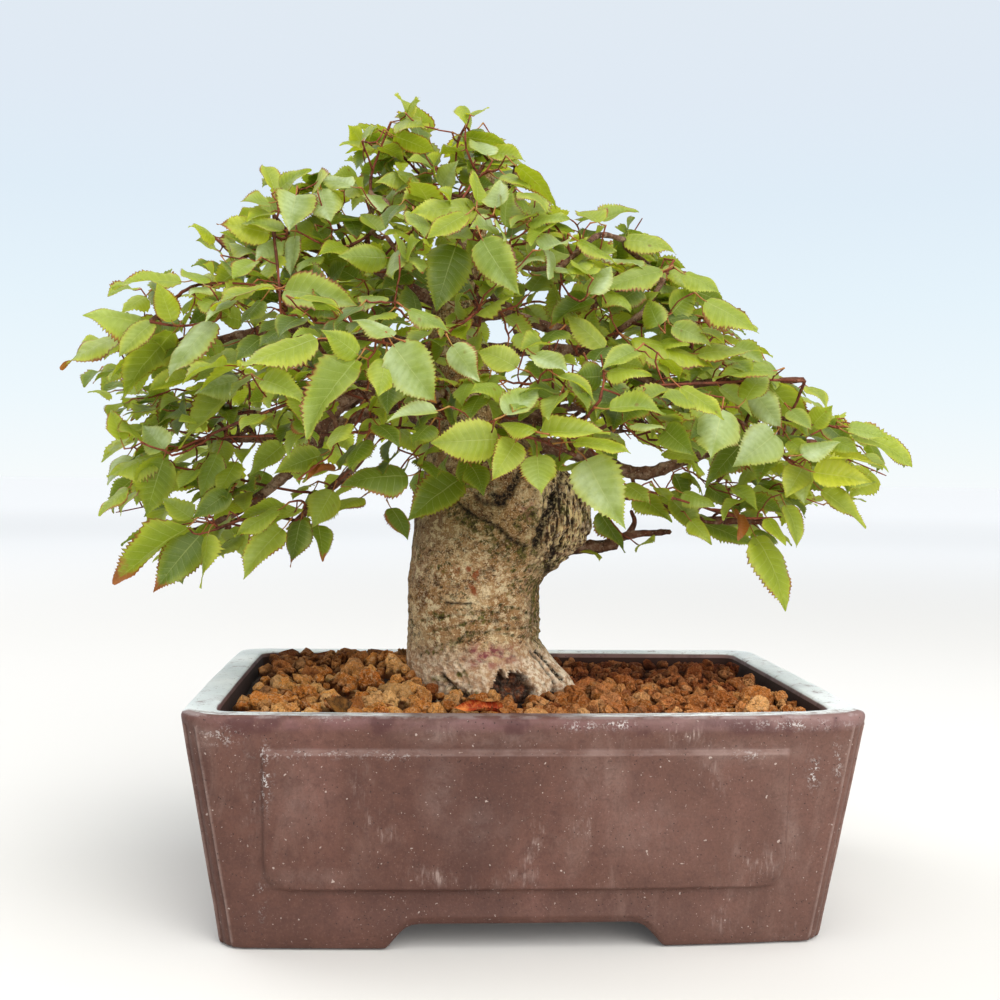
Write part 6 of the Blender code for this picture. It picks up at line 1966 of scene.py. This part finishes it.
def make_wood(wood, stem_nodes, stem_names, leaves, mat, stalk_mat):
    # Main stems: full size, with swollen joints and a knobbly skin
    rng = np.random.RandomState(77)
    stems = {}
    for k, name in enumerate(stem_names):
        g = Gather()
        for run in STEMS[name]:
            length = sum(np.linalg.norm(np.subtract(a, b)) for a, b in zip(run[2], run[2][1:]))
            per = max(4, int(length / (len(run[2]) - 1) / 0.9))
            path = smooth_path(run[2], per)
            n = len(path)
            s = np.linspace(0, 1, n)
            r = 0.76 * (run[0] + (run[1] - run[0]) * s)
            at = s * length
            knots = np.cumsum(rng.uniform(6, 12, 40))
            knots = knots[knots < length]
            swell = sum(0.20 * np.exp(-(((at - q) / 1.1) ** 2)) for q in knots) if len(knots) else 0
            r = r * (1 + swell + 0.07 * noise3(np.column_stack([at * 0.25, np.full(n, k * 3.1), np.zeros(n)])))
            path = path + 0.25 * np.column_stack([noise3(np.column_stack([at * 0.16, np.full(n, 5.0 + q + k), np.zeros(n)])) for q in range(3)]) * np.clip(at / 8, 0, 1)[:, None]
            v, f = tube(path, r, 14)
            # bark ridges that run along the stem
            centre = np.repeat(path, 14, axis=0)
            off = v[: len(centre)] - centre
            rad = np.linalg.norm(off, axis=1)[:, None]
            ridge = 0.08 * noise3(v[: len(centre)], 0.9, 3.0 + k) + 0.05 * noise3(v[: len(centre)], 2.3, 4.0 + k)
            v[: len(centre)] = centre + off * (1 + ridge[:, None] * np.clip(2.2 / np.maximum(rad, 0.5), 0.5, 1.3))
            age = np.concatenate([np.repeat(np.clip(0.35 + (r - 1.2) / 2.2, 0.3, 1), 14), [0.4, 1.0]])
            g.add(v, f, wood=np.column_stack([age, np.full(len(v), rng.uniform()), np.zeros(len(v))]))
        stems[name] = g
    # Thin wood, path by path
    load = wood.load
    thin = {k: Gather() for k in range(-1, len(stem_names))}
    for parent, n0, count in wood.paths:
        idx = np.concatenate([[parent], np.arange(n0, n0 + count)])
        pts = wood.pos[idx].copy()
        ld = load[idx].copy()
        ld[0] = ld[1] if len(ld) > 1 else ld[0]
        if ld.max() < 0.5:
            continue
        r = radius_of(np.maximum(ld, 0.7))
        r = r * (1 + 0.16 * np.sin(np.arange(len(r)) * 2.1 + parent) * (np.arange(len(r)) % 2))
        dead_end = ld[-1] < 0.5
        if dead_end:
            r[-1] *= 0.7
        seg = np.linalg.norm(np.diff(pts, axis=0), axis=1)
        if seg.sum() < 0.3:
            continue
        sides = 7 if r.max() > 0.75 else 5
        v, f = tube(pts, r, sides)
        age = np.clip((np.concatenate([np.repeat(r, sides), [r[-1], r[0]]]) - 0.36) / 0.9, 0, 0.95)
        thin[int(wood.stem[n0])].add(v, f, wood=np.column_stack([age, np.full(len(v), rng.uniform()), np.zeros(len(v))]))
    # Leaf stalks, from the wood to each leaf
    stalks = {k: Gather() for k in range(-1, len(stem_names))}
    for leaf in leaves:
        p0 = wood.pos[leaf.join]
        p3 = leaf.base + leaf.dir * 0.7
        dist = np.linalg.norm(p3 - p0)
        t = np.linspace(0, 1, 5)[:, None]
        p1 = p0 + unit(leaf.base - p0 + np.array([0, 0, 0.3])) * dist * 0.35
        p2 = leaf.base - leaf.dir * dist * 0.35
        pts = (1 - t) ** 3 * p0 + 3 * (1 - t) ** 2 * t * p1 + 3 * (1 - t) * t * t * p2 + t**3 * p3
        v, f = tube(pts, np.array([0.36, 0.25, 0.21, 0.20, 0.14]), 5)
        young = 0.25 + 0.5 * leaf.tints[0][0]
        stalks[int(wood.stem[leaf.join])].add(v, f, wood=np.column_stack([np.full(len(v), 0.0), np.full(len(v), young), np.linspace(0, 1, len(v))]))
    for k in range(-1, len(stem_names)):
        name = "leader" if k < 0 else stem_names[k]
        g = thin[k]
        if g.count:
            piece = g.build("twigs_" + name.replace("branch_", ""), mat)
            place(piece, slot="stem_bark")
        g = stalks[k]
        if g.count:
            piece = g.build("leaf_stalks_" + name.replace("branch_", ""), stalk_mat)
            place(piece, slot="stem_bark")
    for name, g in stems.items():
        piece = g.build(name.replace("branch_", "stem_") + ("_wood" if name == "stub_right" else ""), mat)
        place(piece, name, slot="stem_bark")


def wood_material():
    n = Nodes("hornbeam_twig")
    obj = n.place()
    age, rand, _ = n.split(n.attr("wood"))
    old = n.ramp(n.noise(n.place((1, 1, 1)), 170, 6, 0.72), [(0.34, srgb("38241a")), (0.5, srgb("684836")), (0.66, srgb("9c826c"))])
    mid = n.ramp(n.noise(obj, 240, 5, 0.65), [(0.3, srgb("381c12")), (0.55, srgb("643828")), (0.75, srgb("925e48"))])
    new = n.mix(n.noise(obj, 140, 3, 0.5), srgb("602a1c"), srgb("98543c"))
    base = n.mix(n.step(age, 0.03, 0.20), new, mid)
    base = n.mix(n.step(age, 0.22, 0.55), base, old)
    base = n.mix(n.step(n.noise(obj, 620, 5, 0.75), 0.52, 0.62, 0.0, 0.65), base, srgb("1a0f0a"))
    pore = n.mul(n.step(n.cells(obj, 900, "F1"), 0.24, 0.12), n.step(age, 0.1, 0.4))
    base = n.mix(n.mul(pore, 0.55), base, srgb("b09a82"))
    height = n.add(n.mul(n.noise(obj, 420, 6, 0.75), 1.2), n.mul(n.noise(obj, 1200, 3, 0.6), 0.4))
    normal = n.bump(height, 0.9, 0.0007)
    n.finish(base, 0.8, normal)
    n.shader.inputs["Specular IOR Level"].default_value = 0.15
    return n.mat


def stalk_material():
    n = Nodes("leaf_stalk")
    obj = n.place()
    _, rand, along = n.split(n.attr("wood"))
    base = n.mix(rand, srgb("8e3a28"), srgb("97702f"))
    base = n.mix(n.step(n.noise(obj, 300, 3, 0.5), 0.4, 0.7, 0.0, 0.35), base, srgb("73862c"))
    n.finish(base, 0.5, n.bump(n.noise(obj, 900, 3, 0.6), 0.3, 0.0002))
    n.shader.inputs["Specular IOR Level"].default_value = 0.3
    return n.mat


def leaf_material():
    n = Nodes("hornbeam_leaf")
    obj = n.place()
    uv = n.new("ShaderNodeUVMap", uv_map="UVMap")
    sep = n.new("ShaderNodeSeparateXYZ")
    n.put(sep.inputs[0], uv.outputs[0])
    ux, t, _ = sep.outputs
    rand, lime, brown = n.split(n.attr("leaf_a"))
    blue, dark, scorch = n.split(n.attr("leaf_b"))
    lateral = n.mul(n.math("ABSOLUTE", n.add(ux, -0.5)), 2.0)
    # side veins at ten even places of t
    phase = n.math("ABSOLUTE", n.add(n.math("FRACT", n.add(n.mul(t, float(VEINS)), 0.5)), -0.5))
    vein = n.mul(n.step(phase, 0.065, 0.015), n.step(lateral, 0.96, 0.70))
    midrib = n.step(lateral, n.add(n.mul(t, -0.035), 0.05), 0.008)
    lines = n.math("MAXIMUM", n.mul(vein, 0.5), midrib)
    broad = n.noise(obj, 95, 4, 0.6)
    fine = n.noise(obj, 620, 5, 0.7)

    green = n.mix(rand, srgb("527213"), srgb("90a628"))
    green = n.mix(n.step(broad, 0.38, 0.64, 0.0, 0.45), green, srgb("9db034"))
    col = n.mix(n.mul(lime, 0.85, clamp=True), green, srgb("acb424"))
    col = n.mix(n.step(lime, 0.85, 1.05, 0.0, 0.6), col, srgb("dcd750"))
    # dark leaves: a deeper green, and painted shade for leaves deep in the crown
    col = n.mix(dark, col, srgb("465a14"))
    # deeper green beside the midrib; a painted sheen of reflected sky, stronger on one half of the blade
    core = n.mul(n.step(lateral, n.add(n.mul(rand, 0.25), 0.75), 0.10), n.step(n.noise(obj, 70, 3, 0.6), 0.34, 0.60, 0.25, 1.0))
    col = n.mix(n.mul(core, 0.42), col, n.mix(dark, srgb("58751c"), srgb("33480f")))
    half = n.step(ux, n.add(n.mul(rand, 0.3), 0.25), n.add(n.mul(rand, 0.3), 0.62))
    sheen = n.mul(n.mul(blue, n.step(broad, 0.32, 0.60, 0.30, 1.0)), n.add(n.mul(half, 0.5), 0.50))
    col = n.mix(sheen, col, srgb("c6d6ac"))
    # paler and yellower towards the edge, uneven from leaf to leaf
    edge = n.step(n.add(lateral, n.mul(n.add(n.noise(obj, 120, 3, 0.6), -0.5), 0.35)), n.add(n.mul(rand, 0.30), 0.42), 1.0)
    col = n.mix(n.mul(edge, n.add(n.mul(lime, 0.50), 0.34, clamp=True)), col, srgb("c3c544"))
    between = n.step(phase, 0.10, 0.45)
    col = n.mix(n.mul(between, 0.12), col, srgb("566c1c"))
    col = n.mix(n.mul(lines, n.add(n.mul(dark, 0.12), 0.26)), col, srgb("c6cf86"))
    col = n.mix(n.step(fine, 0.50, 0.66, 0.0, 0.22), col, srgb("4d6414"))
    # fine net of small veins
    net = n.cells(n.place((1, 1, 1)), 1500, "DISTANCE_TO_EDGE")
    col = n.mix(n.step(net, 0.07, 0.0, 0.0, 0.16), col, srgb("b6c060"))
    # red-brown edge
    rag = n.add(lateral, n.mul(n.add(n.noise(obj, 230, 4, 0.7), -0.5), 0.50))
    margin = n.mul(n.step(rag, n.add(n.mul(brown, -0.27), 1.03), n.add(n.mul(brown, -0.13), 1.07)), n.step(brown, 0.02, 0.25))
    margin = n.mul(margin, n.step(n.noise(obj, 55, 2, 0.5), 0.42, 0.54, 0.18, 1.0))
    col = n.mix(n.mul(margin, 0.95), col, n.mix(rand, srgb("74381c"), srgb("ad6a38")))
    rim = n.mul(n.step(lateral, 0.90, 0.97), n.step(n.noise(obj, 170, 3, 0.6), 0.40, 0.52, 0.08, 1.0))
    col = n.mix(n.mul(rim, n.step(brown, 0.0, 0.4, 0.34, 1.0)), col, srgb("6b2f18"))
    # scorched tip
    tipped = n.add(n.add(t, n.mul(lateral, 0.22)), n.mul(n.add(n.noise(obj, 170, 4, 0.65), -0.5), 0.55))
    burn = n.mul(n.step(tipped, n.add(n.mul(scorch, -0.42), 1.22), n.add(n.mul(scorch, -0.32), 1.27)), n.step(scorch, 0.05, 0.3))
    col = n.mix(n.mul(burn, 0.95), col, n.mix(n.noise(obj, 300, 4, 0.7), srgb("6e361c"), srgb("b56c36")))
    # a few brown spots
    spot = n.mul(n.step(n.cells(obj, 210, "F1"), 0.17, 0.07), n.step(n.noise(obj, 60, 2, 0.5), 0.54, 0.62))
    col = n.mix(n.mul(spot, 0.7), col, srgb("6f4220"))

    wave = n.math("COSINE", n.mul(t, 2 * math.pi * VEINS))
    height = n.add(n.mul(wave, -0.13), n.mul(lines, -0.6))
    height = n.add(height, n.mul(fine, 0.35))
    height = n.add(height, n.mul(n.step(net, 0.08, 0.0), -0.10))
    normal = n.bump(height, 0.42, 0.00026)
    n.finish(col, n.add(n.mul(fine, 0.16), 0.34), normal)
    n.shader.inputs["Specular IOR Level"].default_value = 0.42

    thin = n.new("ShaderNodeBsdfTranslucent")
    through = n.mix(0.60, col, n.mix(dark, srgb("cad21c"), srgb("86a012")))
    through = n.mix(n.mul(n.math("MAXIMUM", n.mul(margin, 0.9), burn), 0.85), through, srgb("9a4f26"))
    through = n.mix(n.mul(lines, 0.3), through, srgb("dfdc80"))
    n.put(thin.inputs["Color"], through)
    n.put(thin.inputs["Normal"], normal)
    mixer = n.new("ShaderNodeMixShader")
    mixer.inputs[0].default_value = 0.44
    n.put(mixer.inputs[1], n.shader.outputs[0])
    n.put(mixer.inputs[2], thin.outputs[0])
    n.put(n.out.inputs["Surface"], mixer.outputs[0])
    return n.mat


# ------------------------------------------------------------------ fallen leaves, drain mesh and wire


def dry_leaf_material():
    n = Nodes("dry_leaf")
    obj = n.place()
    uv = n.new("ShaderNodeUVMap", uv_map="UVMap")
    sep = n.new("ShaderNodeSeparateXYZ")
    n.put(sep.inputs[0], uv.outputs[0])
    ux, t, _ = sep.outputs
    hue = n.split(n.attr("leaf_a"))[0]
    lateral = n.mul(n.math("ABSOLUTE", n.add(ux, -0.5)), 2.0)
    phase = n.math("ABSOLUTE", n.add(n.math("FRACT", n.add(n.mul(t, float(VEINS)), 0.5)), -0.5))
    lines = n.math("MAXIMUM", n.mul(n.step(phase, 0.09, 0.02), 0.7), n.step(lateral, 0.06, 0.01))
    blot = n.noise(obj, 280, 5, 0.7)
    olive = n.ramp(blot, [(0.36, srgb("1c1003")), (0.50, srgb("4c2e0b")), (0.64, srgb("7c5020"))])
    red = n.ramp(blot, [(0.36, srgb("5b170b")), (0.50, srgb("a53c17")), (0.64, srgb("d9803f"))])
    base = n.mix(hue, olive, red)
    base = n.mix(n.mul(lines, 0.55), base, n.mix(hue, srgb("8c6630"), srgb("e09a5c")))
    base = n.mix(n.mul(n.step(lateral, 0.8, 1.0), 0.5), base, srgb("2c1509"))
    height = n.add(n.mul(lines, -0.8), n.mul(blot, 0.8))
    n.finish(base, 0.7, n.bump(height, 0.8, 0.0005))
    n.shader.inputs["Specular IOR Level"].default_value = 0.2
    return n.mat


def make_fallen():
    """The two dead leaves on the soil: one on its edge, one curled up lengthways."""
    mat = dry_leaf_material()
    rng = np.random.RandomState(31)
    shape = LeafShape(4, 3)
    for name, base, tip, y, width, hue, fold, curl, roll, tilt in (
        ("fallen_leaf_brown", (353, 716), (325, 697), -53.0, 1.05, 0.0, 0.35, 0.25, 0.0, 0.35),
        ("fallen_leaf_curled", (503, 712), (453, 708), -54.0, 0.85, 1.0, 0.5, 0.35, 1.9, 0.75),
    ):
        b, t = at_depth(*base, y), at_depth(*tip, y - 1.5)
        n = unit(unit(CAM - b) + np.array([0, 0, tilt]))
        leaf = shape_leaf(shape, b, t, n, width, rng, fold=fold, curl=curl, roll=roll)
        g = Gather()
        g.add(leaf.pts, leaf.faces, uv=leaf.uv, leaf_a=(hue, 0.5, 0.5))
        piece = g.build(name + "_blade", mat)
        place(piece, name, slot="leaf_dead")


def drain_materials():
    n = Nodes("drain_mesh_plastic")
    obj = n.place()
    sep = n.new("ShaderNodeSeparateXYZ")
    n.put(sep.inputs[0], n.coord.outputs["Object"])
    x, y, _ = sep.outputs
    k = 2 * math.pi / 0.0022
    strand = n.math("MAXIMUM", n.math("COSINE", n.mul(x, k)), n.math("COSINE", n.mul(y, k)))
    solid = n.step(strand, 0.10, 0.55)
    # the holes between the strands are painted near black, as the shade seen through them
    base = n.mix(solid, srgb("0c0f0c"), n.mix(n.noise(obj, 300, 4, 0.6), srgb("1d2b22"), srgb("35473a")))
    base = n.mix(n.step(n.noise(obj, 90, 4, 0.65), 0.55, 0.70, 0.0, 0.6), base, srgb("6b5038"))
    n.finish(base, 0.6, n.bump(n.add(solid, n.mul(n.noise(obj, 900, 3, 0.6), 0.2)), 0.9, 0.0006))
    wire = Nodes("mesh_wire_metal")
    worn = wire.noise(wire.place(), 260, 5, 0.7)
    wire.finish(
        wire.mix(wire.step(worn, 0.45, 0.62), srgb("8d6b52"), srgb("b39a85")), wire.add(wire.mul(worn, 0.3), 0.28),
        wire.bump(wire.noise(wire.place((1, 1, 1)), 1400, 3, 0.6), 0.3, 0.0002), Metallic=0.9,
    )
    for side in ("left", "right"):
        for node, mat in (("drain_mesh_" + side, n.mat), ("mesh_wire_" + side, wire.mat)):
            for slot in frame["nodes"][node].material_slots:
                slot.material = mat


# ------------------------------------------------------------------ light and floor


def make_world():
    world = bpy.data.worlds.new("studio_sky")
    bpy.context.scene.world = world
    world.use_nodes = True
    tree = world.node_tree
    bg = tree.nodes["Background"]
    coord = tree.nodes.new("ShaderNodeTexCoord")
    sep = tree.nodes.new("ShaderNodeSeparateXYZ")
    tree.links.new(coord.outputs["Generated"], sep.inputs[0])
    ramp = tree.nodes.new("ShaderNodeValToRGB")
    stops = [
        (0.0, (0.97, 0.96, 0.94)), (0.497, (0.93, 0.968, 0.975)), (0.528, (0.85, 0.939, 0.985)), (0.564, (0.785, 0.896, 0.968)),
        (0.599, (0.74, 0.845, 0.935)), (0.632, (0.745, 0.823, 0.91)), (0.67, (0.752, 0.82, 0.893)), (0.78, (0.82, 0.86, 0.91)), (1.0, (0.98, 0.99, 1.0)),
    ]
    els = ramp.color_ramp.elements
    while len(els) < len(stops):
        els.new(0.5)
    for el, (pos, col) in zip(els, stops):
        el.position = pos
        el.color = (*col, 1)
    half = tree.nodes.new("ShaderNodeMath")
    half.operation = "MULTIPLY_ADD"
    half.inputs[1].default_value = 0.5
    half.inputs[2].default_value = 0.5
    tree.links.new(sep.outputs[2], half.inputs[0])
    tree.links.new(half.outputs[0], ramp.inputs[0])
    tree.links.new(ramp.outputs[0], bg.inputs[0])
    bg.inputs[1].default_value = 1.0


def area_light(name, where, aim, size, power, colour):
    light = bpy.data.lights.new(name, "AREA")
    light.shape = "DISK"
    light.size = size
    light.energy = power
    light.color = colour
    obj = bpy.data.objects.new(name, light)
    obj.location = where
    way = Vector(aim) - Vector(where)
    obj.rotation_euler = way.to_track_quat("-Z", "Y").to_euler()
    bpy.context.scene.collection.objects.link(obj)
    return obj


def make_floor():
    """A plain pale sheet that brightens evenly into the pale surroundings far off."""
    n = Nodes("pale_floor")
    obj = n.place()
    sep = n.new("ShaderNodeVectorMath", operation="LENGTH")
    n.put(sep.inputs[0], n.coord.outputs["Object"])
    away = n.step(sep.outputs["Value"], 0.7, 2.6)
    base = n.mix(away, (0.60, 0.582, 0.555), (0.865, 0.86, 0.85))
    n.finish(base, 0.8, None)
    n.shader.inputs["Specular IOR Level"].default_value = 0.1
    glow = n.step(sep.outputs["Value"], 2.2, 6.0, 0.04, 0.170)
    n.shader.inputs["Emission Color"].default_value = (0.98, 0.99, 1.0, 1.0)
    n.put(n.shader.inputs["Emission Strength"], glow)
    bm = bmesh.new()
    bmesh.ops.create_circle(bm, cap_ends=True, segments=96, radius=45.0)
    mesh = bpy.data.meshes.new("floor")
    bm.to_mesh(mesh)
    bm.free()
    mesh.materials.append(n.mat)
    obj = bpy.data.objects.new("floor", mesh)
    obj.location = (0, 0, -0.0003)
    bpy.context.scene.collection.objects.link(obj)


def make_lights():
    area_light("key", (0.48, -1.22, 0.66), (0.0, 0.0, 0.10), 1.3, 17.5, (1.0, 0.985, 0.955))
    area_light("above", (0.30, -0.62, 1.85), (0.0, 0.0, 0.15), 1.5, 23.0, (1.0, 0.99, 0.965))
    area_light("back_left", (-1.1, 0.75, 1.5), (0.0, 0.0, 0.16), 1.2, 12.0, (0.98, 0.99, 1.0))


def place(piece, *nodes, slot=None):
    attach(piece, BODY)
    if nodes:
        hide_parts(*nodes)


def main():
    make_camera()
    make_world()
    make_floor()
    make_lights()
    scene = bpy.context.scene
    scene.view_settings.view_transform = "Standard"
    scene.view_settings.look = "None"

    clay = clay_material()
    pot = make_pot(clay)
    place(pot, "pot", slot="pot_clay")
    bark = trunk_material()
    trunk = make_trunk(bark)
    place(trunk, "trunk", slot="trunk_bark")
    soil = make_soil(grain_material(), bed_material())
    place(soil[0], "soil_bed", slot="soil_grains")
    for piece in soil[1:]:
        place(piece, slot="soil_grains")
    leaves, wood, stem_nodes, stem_names = build_crown(np.random.RandomState(21))
    make_leaves(leaves, leaf_material())
    make_wood(wood, stem_nodes, stem_names, leaves, wood_material(), stalk_material())
    make_fallen()
    drain_materials()


main()
